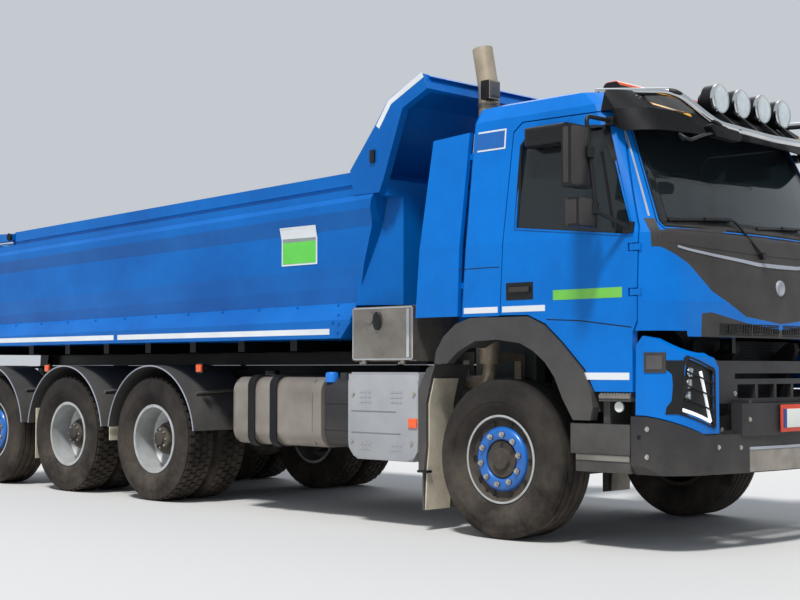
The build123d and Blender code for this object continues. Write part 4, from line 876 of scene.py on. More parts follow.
class Repeats:
    """The three repeated shapes: bolts, blocks and tread rings."""

    def __init__(self) -> None:
        """Build the trees."""
        self.bolts = self._bolts()
        self.blocks = self._blocks()
        self.tread = self._tread()

    @staticmethod
    def _bolts() -> Pattern:
        """Make the tree of hexagon heads on round washers.

        Returns:
            The tree.
        """
        pattern = Pattern("bolt_heads", {"Radius": ("NodeSocketFloat", 0.01), "Height": ("NodeSocketFloat", 0.008)})
        tree = pattern.tree
        radius, height = pattern.source.outputs["Radius"], pattern.source.outputs["Height"]
        wide = put(tree, "ShaderNodeMath", {"operation": "MULTIPLY"}, {0: radius, 1: 1.45})
        thin = put(tree, "ShaderNodeMath", {"operation": "MULTIPLY"}, {0: height, 1: 0.5})
        head = put(tree, "GeometryNodeMeshCylinder", inputs={"Vertices": 6, "Radius": radius, "Depth": height})
        washer = put(tree, "GeometryNodeMeshCylinder", inputs={
            "Vertices": 14, "Radius": wide.outputs[0], "Depth": thin.outputs[0]})
        rise = put(tree, "ShaderNodeCombineXYZ", inputs={"Z": thin.outputs[0]})
        lifted = put(tree, "GeometryNodeTransform", inputs={
            "Geometry": head.outputs[0], "Translation": rise.outputs[0]})
        both = put(tree, "GeometryNodeJoinGeometry", inputs={0: lifted.outputs[0]})
        tree.links.new(washer.outputs[0], both.inputs[0])
        pattern.stand(both.outputs[0])
        return pattern

    @staticmethod
    def _blocks() -> Pattern:
        """Make the tree of plain blocks of one size, for fins, treads and mesh.

        Returns:
            The tree.
        """
        pattern = Pattern("block_row", {"Size": ("NodeSocketVector", (0.01, 0.01, 0.01))})
        cube = put(pattern.tree, "GeometryNodeMeshCube", inputs={"Size": pattern.source.outputs["Size"]})
        pattern.stand(cube.outputs[0])
        return pattern

    @staticmethod
    def _tread() -> Pattern:
        """Make the tree of staggered rows of tread blocks round a tyre that stands on each point.

        Returns:
            The tree.
        """
        pattern = Pattern("tyre_tread", {
            "Count": ("NodeSocketInt", 48), "Radius": ("NodeSocketFloat", 0.527),
            "Block": ("NodeSocketVector", (0.018, 0.045, 0.04)), "Spacing": ("NodeSocketFloat", 0.062),
            "Seed": ("NodeSocketInt", 4)})
        tree, given = pattern.tree, pattern.source.outputs
        cube = put(tree, "GeometryNodeMeshCube", inputs={"Size": given["Block"]})
        circle = put(tree, "GeometryNodeMeshCircle", inputs={"Vertices": given["Count"], "Radius": given["Radius"]})
        pitch = put(tree, "ShaderNodeMath", {"operation": "DIVIDE"}, {0: math.pi, 1: given["Count"]})
        joined = put(tree, "GeometryNodeJoinGeometry")
        for row in range(4):
            shift = put(tree, "ShaderNodeMath", {"operation": "MULTIPLY"}, {0: given["Spacing"], 1: row - 1.5})
            move = put(tree, "ShaderNodeCombineXYZ", inputs={"Z": shift.outputs[0]})
            stagger = put(tree, "ShaderNodeMath", {"operation": "MULTIPLY"}, {0: pitch.outputs[0], 1: float(row % 2)})
            spin = put(tree, "ShaderNodeCombineXYZ", inputs={"Z": stagger.outputs[0]})
            ring = put(tree, "GeometryNodeTransform", inputs={
                "Geometry": circle.outputs[0], "Translation": move.outputs[0], "Rotation": spin.outputs[0]})
            tree.links.new(ring.outputs[0], joined.inputs[0])
        spot = put(tree, "GeometryNodeInputPosition")
        flat = put(tree, "ShaderNodeVectorMath", {"operation": "MULTIPLY"}, {0: spot.outputs[0], 1: (1.0, 1.0, 0.0)})
        turn = put(tree, "FunctionNodeAlignRotationToVector", {"axis": "X", "pivot_axis": "Z"}, {
            "Vector": flat.outputs[0]})
        wear = put(tree, "FunctionNodeRandomValue", {"data_type": "FLOAT_VECTOR"}, {
            0: (0.92, 0.9, 0.9), 1: (1.0, 1.05, 1.05), "Seed": given["Seed"]})
        rings = put(tree, "GeometryNodeInstanceOnPoints", inputs={
            "Points": joined.outputs[0], "Instance": cube.outputs[0], "Rotation": turn.outputs[0],
            "Scale": wear.outputs[0]})
        pattern.stand(rings.outputs[0])
        return pattern


def row(start: Pair, end: Pair, count: int) -> list[Pair]:
    """Give count evenly spaced points from start to end."""
    return [tuple(a + (b - a) * i / (count - 1) for a, b in zip(start, end)) for i in range(count)]


def divided(points: Iterable[Pair], step: float, closed: bool = False) -> list[Pair]:
    """Divide a path into short runs.

    Args:
        points: The path's corners.
        step: The longest run in millimetres.
        closed: Whether the last point joins the first.

    Returns:
        Corners and the points between them.
    """
    points = list(points)
    result: list[Pair] = []
    for a, b in zip(points, points[1:] + (points[:1] if closed else [])):
        count = max(1, math.ceil(math.dist(a, b) / step))
        result += [(a[0] + (b[0] - a[0]) * i / count, a[1] + (b[1] - a[1]) * i / count) for i in range(count)]
    return result if closed else result + [points[-1]]


def arc(radius: float, turns: Iterable[float]) -> list[Pair]:
    """Give points of a circle at some turns in degrees."""
    return [(radius * math.cos(math.radians(t)), radius * math.sin(math.radians(t))) for t in turns]


@dataclass(frozen=True)
class Sheet:
    """A straight-sided sheet of trim, laid on a surface in one or more spans."""

    name: str
    body: str
    finish: Finish
    spans: tuple[tuple[Pair, tuple[float, ...]], ...]
    lift: float
    thick: float
    make: Callable[[Form, str, str, Finish], object]
    count: int = 8

    def lay(self, skin: Skin, plane: Plane = Plane.RIGHT) -> None:
        """Make the sheet.

        Args:
            skin: The surface.
            plane: The direction in which it is dropped.
        """
        form = Form()
        for (start, end), levels in self.spans:
            rows = [row((start, v), (end, v), self.count) for v in levels]
            form.drape(skin, rows, plane, self.lift, self.thick)
        self.make(form, self.name, self.body, self.finish)


@dataclass
class Wheel:
    """A wheel or a pair of wheels with its tyre, ring, nuts and hub. Names follow the CAD's own."""

    place: str
    side: Side
    x: float
    y: float
    tyre_offsets: tuple[float, ...] = (0.0,)
    half: float = 192.0
    tread_half: float = 150.0
    bead: float = 141.5
    ribbed: bool = True
    z: float = 536.0
    radius: float = 536.0
    disc: float = 120.0

    def build(self, repeats: Repeats, frame: dict) -> None:
        """Make every piece of the wheel.

        Args:
            repeats: The repeated shapes.
            frame: The loaded frame.
        """
        plural = "" if self.ribbed else "s"
        self.name = f"{self.place}_{self.side.name.lower()}"
        self.body = f"wheel{plural}_{self.name}"
        self._tyres(repeats, f"tyre{plural}_{self.name}")
        paint(frame["nodes"][f"rim{plural}_{self.name}"].data, DARK_WHEEL if self.ribbed else SILVER)
        if self.ribbed:
            self._ring(repeats)
        else:
            self._deep_hub(repeats)

    def _around(self, radius: float, out: float, count: int, phase: float = 0.0) -> list[Point]:
        """Give places round the axle.

        Args:
            radius: Their circle's radius.
            out: How far outside the wheel's middle they lie.
            count: How many there are.
            phase: The first one's turn as a share of the pitch.

        Returns:
            Places on the truck.
        """
        turns = [2 * math.pi * (k + phase) / count for k in range(count)]
        return [(self.x + radius * math.cos(t), self.y + self.side.value * out, self.z + radius * math.sin(t))
                for t in turns]

    def _studs(self, *ring: float) -> list[Stud]:
        """Give places round the axle with the outward direction."""
        return [(Place.at(*spot), Vector((0, self.side.value, 0))) for spot in self._around(*ring)]

    def _turn(self, name: str, profile: list[Pair], segments: int, finish: Finish, spots: list[Point] | None = None,
              smooth: float = 35.0) -> None:
        """Turn a profile as one piece.

        Args:
            name: The piece's name after the wheel's.
            profile: Points (outwards along the axle, radius).
            segments: Faces round the turn.
            finish: The surface finish.
            spots: Where copies stand; the wheel's middle if left out.
            smooth: The angle in degrees up to which edges are shaded smooth.
        """
        form = Form()
        for spot in spots or [(self.x, self.y, self.z)]:
            form.lathe([(a * self.side.value, r) for a, r in profile], spot, segments)
        form.piece(f"{self.name}_{name}", self.body, finish, smooth)

    def _tyres(self, repeats: Repeats, node: str) -> None:
        """Turn the tyres, with ribs or with blocks.

        Args:
            repeats: The repeated shapes.
            node: The CAD node that they replace.
        """
        form = Form()
        for offset in self.tyre_offsets:
            form.lathe(self._profile(), (self.x, self.y + offset, self.z), 96)
        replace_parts(form.piece(f"{self.name}_tyre", self.body, RUBBER, 50), node)
        if not self.ribbed:
            spots = [(Place.at(self.x, self.y + offset, self.z), Vector((0, 1, 0))) for offset in self.tyre_offsets]
            repeats.tread.apply(spots, f"{self.name}_tread", self.body, RUBBER, Count=46, Seed=4, Spacing=0.062,
                                Radius=(self.radius - 10) * MM, Block=(0.019, 0.05, 0.046))

    def _profile(self) -> list[Pair]:
        """Give the tyre's section.

        Returns:
            Points (along the axle, radius), with four grooves when it is ribbed.
        """
        w, r, edge = self.half, self.radius, self.tread_half
        wall = [(self.bead, 287), (self.bead + 2, 303), (self.bead + 16, 318), (w - 16, 346), (w - 4, 378),
                (w - 4, 386), (w - 1, 388), (w, 412), (w - 2, 448), (w - 5, 452), (w - 9, 486), (w - 18, 508),
                (edge + 10, 522)]
        base = r if self.ribbed else r - 16
        wall.append((edge, r - 4 if self.ribbed else base))
        tread = [(edge - 8, base)]
        for groove in (92, 31, -31, -92) if self.ribbed else ():
            tread += [(groove + 8, base), (groove + 5, base - 13), (groove - 5, base - 13), (groove - 8, base)]
        return wall + tread + [(8 - edge, base)] + [(-y, radius) for y, radius in reversed(wall)]

    def _ring(self, repeats: Repeats) -> None:
        """Make the bright flange, the blue ring with its nuts, painted shade in the hand holes, and the hub.

        Args:
            repeats: The repeated shapes.
        """
        face = self.disc
        self._turn("flange", [(146, 284), (150.5, 284), (152, 290), (150.5, 299), (146, 299)], 80, SILVER)
        self._turn("ring", [(face - 2, 133), (face + 16, 134), (face + 24, 142), (face + 28, 152), (face + 28, 192),
                            (face + 20, 208), (face + 4, 219), (face - 2, 219)], 72, WHEEL_BLUE)
        self._turn("cups", [(0, 0), (2, 0), (2, 21), (0, 21)], 16, BLACK, self._around(168, face + 29, 10, 0.3))
        repeats.bolts.apply(self._studs(168, face + 34, 10, 0.3), f"{self.name}_nuts", self.body, NUT, Radius=0.0135,
                            Height=0.02)
        # Painted shade: black discs where the hand holes are
        self._turn("hand_holes", [(0, 0), (2, 0), (2, 15), (0, 15)], 14, BLACK, self._around(243, face + 6, 10))
        self._turn("hub", [(90, 0), (130, 0), (134, 30), (130, 56), (116, 64), (110, 92), (98, 98), (90, 98)], 48,
                   DARK_WHEEL)

    def _deep_hub(self, repeats: Repeats) -> None:
        """Make the drive hub deep in the barrel, with its nuts, cap and flange edge.

        Args:
            repeats: The repeated shapes.
        """
        self._turn("hub", [(24, 0), (24, 198), (30, 203), (36, 198), (40, 146), (150, 138), (165, 132), (170, 112),
                           (205, 104), (214, 96), (216, 62), (240, 56), (246, 44), (246, 0)], 48, IRON, smooth=28)
        repeats.bolts.apply(self._studs(170, 42, 10, 0.2), f"{self.name}_nuts", self.body, IRON, Radius=0.016,
                            Height=0.03)
        repeats.bolts.apply(self._studs(80, 219, 8), f"{self.name}_shaft_bolts", self.body, NUT, Radius=0.007,
                            Height=0.008)
        self._turn("flange", [(286, 285), (290.5, 285), (292, 291), (290.5, 299), (286, 299)], 80, SILVER)


@dataclass
class Cab:
    """The cab's trim, glass, lamps, mirrors and seats."""

    door_window: tuple[Pair, ...] = ((165, 2085), (1060, 1985), (1095, 2040), (865, 2700), (240, 2710), (178, 2640))
    frit: tuple[Pair, ...] = ((-1070, 2062), (-1075, 2085), (-968, 2768), (-930, 2795))
    screen: tuple[Pair, ...] = ((-1110, 2025), (-1130, 2060), (-1010, 2800), (-960, 2840))
    lamp_y: tuple[float, ...] = (-405, -135, 135, 405)
    lamp_x: float = 1230.0
    lamp_z: float = 2925.0
    lamp_r: float = 98.0
    lamp_pocket: tuple[Pair, ...] = ((-1112, 874), (-846, 784), (-848, 1138), (-1074, 1216))
    seat_y: tuple[float, ...] = (-600, 600)

    def build(self, repeats: Repeats, frame: dict) -> None:
        """Make every piece of the cab.

        Args:
            repeats: The repeated shapes.
            frame: The loaded frame.
        """
        self.doors = Skin(frame, "door_right", "cab_shell", "side_deflectors")
        self.front = Skin(frame, "cab_shell", "front_panel", "windscreen", "door_right", "door_left")
        self.low = Skin(frame, "bumper", "headlamp_panels", "headlamps")
        self.visor = Skin(frame, "sun_visor")
        self.panes = Skin(frame, "door_glass_right", "windscreen")
        self._windows()
        self._side_marks()
        self._front_panel(repeats)
        self._wipers()
        self._mirrors()
        self._roof()
        self._bumper(repeats)
        self._headlamps()
        self._steps(repeats)
        self._inside()

    def _windows(self) -> None:
        """Lay the rubber round the windows, the black edge of the windscreen and the quarter light's bar."""
        rubber = Form().strip(self.doors, self.door_window, 120, 26, Plane.RIGHT, 3, 9, True, -1200)
        rubber.both("window_rubber", DOORS, SEAL)
        bar = Form().strip(self.panes, [(838, 2530), (958, 2030)], 90, 16, Plane.RIGHT, 5, 12)
        bar.both("quarter_bar", DOORS, SEAL)
        for name, skin, half, width, lift, thick, finish in (
                ("screen_rubber", self.front, self.screen, 30, 4, 12, SEAL),
                ("screen_edge", self.panes, self.frit, 64, 1.2, 2, BLACK)):
            outline = [*half, *((-y, z) for y, z in reversed(half))]
            Form().strip(skin, outline, 110, width, Plane.FRONT, lift, thick, True).piece(name, "cab", finish)
        line = Form().strip(self.front, [(-1078, 2701), (-1170, 2094)], 90, 9, Plane.FRONT, 3, 6)
        line.twin("pillar_line", "cab", STRIP)

    def _side_marks(self) -> None:
        """Lay the marking tape, handle, seams, painted shadow along the door's crease, green band and blank plate on
        the cab's sides.
        """
        for sheet in (
                Sheet("cab_tape", "cab", TAPE, (((-345, 12), (1522, 1562)),), 1.5, 2, Form.twin),
                Sheet("door_tape", DOORS, TAPE, (((52, 419), (1522, 1562)), ((709, 1080), (1075, 1120))), 1.5, 2,
                      Form.both),
                Sheet("door_band", DOORS, GREEN, (((486, 1032), (1590, 1655)),), 1.2, 2, Form.both)):
            sheet.lay(self.doors)
        seam = Form().strip(self.doors, [(-345, 1830), (27, 1830)], 80, 6, Plane.RIGHT, 0.6, 2)
        seam.twin("cab_seam", "cab", SEAL)
        # Painted shadow: a dark strip along the door's crease
        crease = Form().strip(self.doors, [(430, 1466), (700, 1452), (1100, 1402)], 80, 7, Plane.RIGHT, 0.6, 2)
        crease.both("door_crease", DOORS, SEAL)
        for sheet in (
                Sheet("number_panel_edge", "cab", TAPE, (((-275, 35), (2640, 2710, 2780)),), 2, 3, Form.piece, 6),
                Sheet("blank_number_panel", "cab", PLATE_BLUE, (((-263, 23), (2652, 2710, 2768)),), 3.5, 3,
                      Form.piece, 6),
                Sheet("handle_recess", DOORS, BLACK, (((87, 319), (1602, 1718)),), 1.5, 3, Form.both, 5)):
            sheet.lay(self.doors)
        Form().box((120, 292), (-1262, -1246), (1652, 1688), 6).both("door_handle", DOORS, COWL)

    def _front_panel(self, repeats: Repeats) -> None:
        """Lay the light strip, the round boss, the mesh and the panel seams on the front.

        Args:
            repeats: The repeated shapes.
        """
        line = [(0, 1810), (250, 1814), (420, 1830), (700, 1854), (950, 1882), (1040, 1898)]
        spots = [(-y, z) for y, z in reversed(line[1:])] + line
        strip = [[(y, z + 27 - abs(y) * 0.012) for y, z in spots], spots]
        Form().drape(self.front, strip, Plane.FRONT, 5, 8).piece("light_strip", "cab", STRIP)
        # The cowl's top sheet runs from a nearly level seam up to the windscreen's bowed foot, in ten rows
        spread = [k * 73 for k in range(-16, 17)]
        foot = [2068 - 0.000022 * y * y - (26 if abs(y) > 1150 else 0) for y in spread]
        seam = [1890 + 0.00003 * y * y for y in spread]
        rows = [[(y, low + (top - low) * k / 9) for y, low, top in zip(spread, seam, foot)] for k in range(10)]
        Form().drape(self.front, rows, Plane.FRONT, 3, 5).piece("cowl_top", "cab", COWL)
        ends = Form().drape(self.front, [row((y, 1900), (y, 2080), 5) for y in (-1196, -1150)], Plane.FRONT, 3, 5)
        ends.twin("cowl_ends", "cab", COWL)
        boss = [(-20, 0), (12, 0), (14, 30), (20, 38), (20, 48), (12, 54), (-20, 54)]
        Form().lathe(boss, (1412, 0, 1678), 40, "x").piece("front_boss", "cab", STRIP)
        path = [(-1150, 1975), (-700, 1945), (0, 1930), (700, 1945), (1150, 1975)]
        Form().strip(self.front, path, 90, 7, Plane.FRONT, 0.8, 3).piece("cowl_seam", "cab", SEAL)
        cells = [(k * 16 + 8 * (level % 2), 1362 + level * 11) for level in range(7) for k in range(-44, 45)]
        cells = [(y, z) for y, z in cells if 26 <= abs(y) <= 330 or 352 <= abs(y) <= 690]
        repeats.blocks.apply(self.front.studs(cells, Plane.FRONT, False), "grille_mesh", "cab", BLACK,
                             Size=(0.008, 0.011, 0.005))
        # Painted shade: black sheets where the cowl's vent slots open
        vents = tuple(((y - 190, y + 190), (1990, 2003)) for y in (-520, 520))
        Sheet("cowl_vents", "cab", BLACK, vents, 2, 6, Form.piece, 6).lay(self.front, Plane.FRONT)

    def _wipers(self) -> None:
        """Make the two wipers, resting on the windscreen's lower edge."""
        form = Form()

        def spot(y: float, z: float, lift: float) -> Point:
            """Give a place above the glass."""
            return Place.back(self.front.lay(y, z, Plane.FRONT, lift))
        for shift in (0, 890):
            pivot = spot(shift - 211, 1883, 24)
            blade = [spot(shift + y, z, 13) for y, z in ((-1056, 2074), (-850, 2088), (-640, 2101), (-421, 2112))]
            form.tube([pivot, spot(shift - 430, 2112, 34), spot(shift - 740, 2098, 34)], 9, 60, 8)
            form.tube(blade, 9, 20, 8)
            form.lathe([(-14, 0), (14, 0), (14, 24), (-14, 24)], pivot, 18, "x")
        form.piece("wipers", "cab", BLACK)

    def _mirrors(self) -> None:
        """Make the mirror heads with their glass, brackets and tubes."""
        head = Form().box((822, 905), (-1592, -1378), (2272, 2662), 28)
        head.box((842, 955), (-1582, -1388), (2018, 2205), 26).both("mirror_heads", DOORS, COWL)
        glass = Form().box((819, 824), (-1570, -1400), (2295, 2640), 2).box((839, 844), (-1562, -1408), (2038, 2186), 2)
        glass.both("mirror_glass", DOORS, MIRROR)
        joint = Form()
        half = [(34, 0), (38, 12), (38, 24), (34, 30)]
        for x, z in ((917, 2493), (948, 2140)):
            joint.lathe([(-34, 0), *half, *((-a, r) for a, r in half[:0:-1])], (x, -1416, z), 20, "z")
        joint.box((1050, 1125), (-1262, -1205), (1985, 2060), 14)
        joint.box((868, 932), (-1190, -1105), (2692, 2752), 12)
        joint.both("mirror_brackets", DOORS, BLACK)
        arm = [(1250, -880, 2600), (1380, -1120, 2590), (1440, -1100, 2545), (1430, -930, 2600), (1410, -760, 2640)]
        Form().tube(arm, 10, 60).piece("kerb_mirror_arm", "cab", BLACK)
        outline = [(-860, 2668), (-820, 2688), (-520, 2676), (-470, 2650), (-500, 2600), (-780, 2605)]
        Form().prism("x", outline, 1370, 1440, 24).piece("kerb_mirror", "cab", VISOR)

    def _roof(self) -> None:
        """Make the lamp glasses, the beacon, the visor strips and the tube over the windscreen."""
        glass, rims, bowls = Form(), Form(), Form()
        r = self.lamp_r
        for y in self.lamp_y:
            centre = (self.lamp_x, y, self.lamp_z)
            rims.lathe([(-14, r - 11), (9, r - 11), (11, r - 4), (3, r + 3), (-14, r + 2)], centre, 40, "x")
            glass.lathe([(7, 0), (16, 0), (15, r * 0.4), (12, r * 0.75), (8, r - 11), (7, r - 11)], centre, 40, "x")
            bowls.lathe([(1, 0), (1.5, 20), (2.5, 50), (3.5, r - 12), (0.5, r - 11), (0.5, 0)], centre, 36, "x")
        strip = Form().strip(self.visor, [(-959, 2842), (-693, 2782)], 60, 20, Plane.FRONT, 2, 4)
        strip.twin("visor_strips", "cab", YELLOW)
        rims.piece("lamp_rims", "cab", CHROME)
        glass.piece("lamp_glasses", "cab", LENS)
        bowls.piece("lamp_bowls", "cab", LAMP_BOWL)
        half = [(662, -1000, 2965), (1190, -870, 2915), (1345, -640, 2715)]
        path = [*half, (1372, 0, 2690), *((x, -y, z) for x, y, z in reversed(half))]
        Form().tube(path, 26, 90, 20).piece("lamp_tube", "cab", CHROME)
        dome = [(352, 3082), (356, 3132), (380, 3146), (462, 3146), (486, 3132), (490, 3082)]
        Form().prism("y", dome, -498, 498, 8).piece("beacon_lens", "cab", ORANGE)
        grips = Form()
        for y in (-300, -100, 100, 300):
            grips.prism("y", [(346, 3076), (346, 3096), (496, 3096), (496, 3076)], y - 6, y + 6, 3)
        grips.piece("beacon_bands", "cab", BLACK)

    def _bumper(self, repeats: Repeats) -> None:
        """Make the bumper's bolts, painted shade in its holes, the blank plate and the skid plate.

        Args:
            repeats: The repeated shapes.
        """
        front = [(sign * y, z) for y, z in ((833, 657), (645, 651), (571, 825), (562, 987), (700, 760))
                 for sign in (-1, 1)]
        for name, studs, radius in (
                ("bumper_bolts", self.low.studs(front, Plane.FRONT, False), 0.011),
                ("bumper_side_bolts", self.low.studs([(1203, 774), (1202, 603)], Plane.RIGHT), 0.012)):
            repeats.bolts.apply(studs, name, "chassis", NUT, Radius=radius, Height=0.008)
        # Painted shade: black squares where the bumper's holes are
        Sheet("bumper_holes", "chassis", SEAL, (((1136, 1162), (710, 736)),), 1, 3, Form.twin, 3).lay(self.low)
        for name, x, y, z, bevel, finish in (("plate_frame", (1574, 1585), (-290, 290), (738, 914), 5, PLATE_RED),
                                             ("plate_blank", (1584, 1588), (-224, 268), (766, 886), 1.5, PLATE),
                                             ("plate_band", (1584, 1588), (-268, -226), (766, 886), 1.5, PLATE_BAND)):
            Form().box(x, y, z, bevel).piece(name, "chassis", finish)
        for sheet in (Sheet("skid_plate", "chassis", SKID, (((-565, 565), (496, 560, 632)),), 5, 7, Form.piece, 15),
                      Sheet("skid_lip", "chassis", STRIP, (((-565, 565), (634, 652)),), 8, 9, Form.piece, 15)):
            sheet.lay(self.low, Plane.FRONT)

    def _headlamps(self) -> None:
        """Make the headlamp's dark guard, light strip, inner lamps and indicator."""
        guard = Form()
        for a, b in zip(self.lamp_pocket, self.lamp_pocket[1:] + self.lamp_pocket[:1]):
            guard.strip(self.low, [a, b], 60, 22, Plane.FRONT, 7, 12)
        for t in (0.25, 0.5, 0.75):
            bar = [(-1108 + 34 * t, 884 + 326 * t), (-850, 796 + 336 * t)]
            guard.strip(self.low, bar, 60, 8, Plane.FRONT, 22, 10)
        edges = ((866, -1178, -1108), (910, -1172, -1102), (950, -1150, -1098), (1040, -1144, -1088),
                 (1110, -1148, -1080), (1150, -1180, -1075), (1196, -1184, -1070))
        guard.drape(self.low, [row((left, z), (right, z), 8) for z, left, right in edges], Plane.FRONT, 6, 10)
        guard.twin("headlamp_guard", "chassis", BLACK)
        strip = Form().strip(self.low, [(-1092, 893), (-872, 816)], 50, 20, Plane.FRONT, 12, 9)
        strip.strip(self.low, [(-872, 816), (-966, 1128)], 50, 18, Plane.FRONT, 12, 9)
        strip.twin("headlamp_strip", "chassis", DAY_LIGHT)
        bowls, lamps = Form(), Form()
        for y, z in ((-1036, 1122), (-1044, 1052), (-1052, 978)):
            spot = Place.back(self.low.lay(y, z, Plane.FRONT, 0))
            bowls.lathe([(-2, 0), (5, 0), (5, 20), (9, 27), (-2, 30)], spot, 24, "x")
            lamps.lathe([(6, 0), (15, 0), (12, 16), (9, 25), (6, 25)], spot, 24, "x")
        bowls.twin("headlamp_bowls", "chassis", HEAD_BOWL)
        lamps.twin("headlamp_lenses", "chassis", LENS)
        for sheet in (Sheet("indicator_housing", "chassis", COWL, (((1190, 1305), (1120, 1245)),), 6, 10, Form.twin, 5),
                      Sheet("indicator_lens", "chassis", SMOKED, (((1206, 1288), (1140, 1226)),), 9, 5, Form.twin, 4)):
            sheet.lay(self.low)

    @staticmethod
    def _steps(repeats: Repeats) -> None:
        """Make the silver treads on the steps, their edges and panels, and the round side lamps.

        Args:
            repeats: The repeated shapes.
        """
        teeth = []
        for side in Side:
            for y in (side.value * (1222 - j * 36) for j in range(3)):
                teeth += [(Place.at(862 + k * 24, y, 989), Vector((0, 0, 1))) for k in range(10)]
                teeth += [(Place.at(674 + k * 26, y, 603), Vector((0, 0, 1))) for k in range(15)]
        repeats.blocks.apply(teeth, "step_teeth", "chassis", NUT, Size=(0.016, 0.022, 0.006))
        edge = Form().box((850, 1088), (-1251, -1243), (958, 986), 4).box((664, 1078), (-1246, -1238), (566, 604), 4)
        edge.twin("step_edges", "chassis", STEEL)
        Form().box((626, 1086), (-1251, -1243), (606, 800), 8).twin("step_panel", "chassis", FLARE)
        lamp = Form().lathe([(-16, 0), (-5, 0), (-2, 14), (0, 27), (-4, 33), (-16, 33)], (985, -1206, 906), 28)
        lamp.mirrored().piece("step_lamp_left", "chassis", PLATE)
        lamp.piece("step_lamp_right", "chassis", PLATE)

    def _inside(self) -> None:
        """Make the dashboard, steering wheel and padded seats."""
        outline = [(985, 1562), (1175, 1562), (1175, 1935), (1120, 1975), (1000, 1985), (925, 1940), (905, 1860),
                   (950, 1700)]
        dash = Form().prism("y", outline, -1015, 1015, 22).box((900, 935), (330, 870), (1800, 1935), 14)
        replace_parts(dash.piece("dashboard", "cab", TRIM), "cab_interior")
        wheel = Form()
        tilt = Matrix.Translation(Vector((745, 600, 2067))) @ Matrix.Rotation(math.radians(-35), 4, "Y")

        def spot(x: float, y: float, z: float) -> Point:
            """Give a place in the steering wheel's own plane."""
            return tuple(tilt @ Vector((x, y, z)))
        turns = [t * math.pi / 16 for t in range(33)]
        wheel.tube([spot(205 * math.cos(t), 205 * math.sin(t), 0) for t in turns], 15, 6, 10)
        for x, y in arc(198, (0, 120, 240)):
            wheel.tube([spot(0, 0, -14), spot(x, y, 0)], 13, 8, 8)
        wheel.tube([spot(0, 0, 8), spot(0, 0, -250)], 30, 8, 14)
        wheel.piece("steering_wheel", "cab", BLACK)
        seats, cushions = Form(), Form()
        for y in self.seat_y:
            seats.box((20, 440), (y - 200, y + 200), (1562, 1770), 20)
            cushions.box((-10, 480), (y - 245, y + 245), (1772, 1925), 55)
            cushions.prism("y", [(-30, 1900), (105, 1940), (20, 2470), (-85, 2470)], y - 235, y + 235, 48)
            cushions.prism("y", [(-70, 2480), (15, 2480), (5, 2640), (-75, 2640)], y - 130, y + 130, 34)
        seats.piece("seat_stands", "cab", TRIM)
        cushions.piece("seat_cushions", "cab", CLOTH, 60)


@dataclass
class Bed:
    """The dump bed's tape, sign, bolts and tailgate fittings."""

    tape_spans: tuple[Pair, ...] = ((-6850, -4524), (-4463, -1654))
    sign: Pair = (-2237, -1849)
    bolt_pitch: int = 470

    def build(self, repeats: Repeats, frame: dict) -> None:
        """Make every piece of the bed.

        Args:
            repeats: The repeated shapes.
            frame: The loaded frame.
        """
        self.skin = Skin(frame, "bed")
        self._marks()
        self._details(repeats)
        self._gate()

    def _marks(self) -> None:
        """Lay the tape on the skirt and the canopy, and the blank sign: a white edge, a grey field and a green one."""
        x0, x1 = self.sign
        for sheet in (
                Sheet("skirt_tape", "bed", TAPE, tuple((span, (1402, 1446)) for span in self.tape_spans), 1.5, 2.5,
                      Form.twin, 15),
                Sheet("sign_edge", "bed", TAPE, (((x0 - 14, x1 + 14), (1950, 2050, 2150, 2250)),), 3, 4, Form.piece, 6),
                Sheet("sign_field", "bed", SIGN, ((self.sign, (1964, 2050, 2132)),), 5, 4, Form.piece, 6),
                Sheet("sign_top", "bed", SIGN_GREY, ((self.sign, (2134, 2190, 2236)),), 5, 4, Form.piece, 6)):
            sheet.lay(self.skin)
        form = Form().strip(self.skin, [(-1145, 2921), (-1018, 3092), (-686, 3245)], 90, 42, Plane.RIGHT, 1.5, 2.5)
        form.twin("canopy_tape", "bed", TAPE)
        Form().box((-1218, -1168), (-1262, -1238), (2664, 2758), 7).twin("canopy_marker", "bed", BLACK)

    def _details(self, repeats: Repeats) -> None:
        """Set the skirt's bolts, in a line that falls to the rear, and the rail's paler top edge: wear and a painted
        highlight.

        Args:
            repeats: The repeated shapes.
        """
        line = [(x, 1625 - (x + 1570) / -5300 * 60) for x in range(-6810, -1500, self.bolt_pitch)]
        line += [(-1616, 1495), (-1552, 1483), (-1564, 1420), (-1580, 1545)]
        repeats.bolts.apply(self.skin.studs(line, Plane.RIGHT), "skirt_bolts", "bed", BED_PAINT, Radius=0.01,
                            Height=0.008)
        # The rail's paler top edge: partly wear, partly a painted highlight on its upward face
        rail = Sheet("rail_worn_edge", "bed", RAIL_WEAR_HIGHLIGHT, (((-6900, -1300), (-1238, -1222)),), 0.8, 2, Form.twin, 40)
        rail.lay(self.skin, Plane.TOP)

    @staticmethod
    def _gate() -> None:
        """Make the tailgate's hinge caps and latches."""
        caps = Form().lathe([(-14, 0), (0, 0), (6, 14), (6, 34), (-14, 38)], (-6360, -1252, 2452), 24)
        caps.twin("gate_pin_caps", "tailgate", FRAME)
        hook = [(-7100, 1420), (-7020, 1400), (-6975, 1345), (-7005, 1335), (-7060, 1370), (-7100, 1380)]
        Form().prism("y", hook, -1160, -1120, 6).twin("gate_hooks", "tailgate", FRAME)


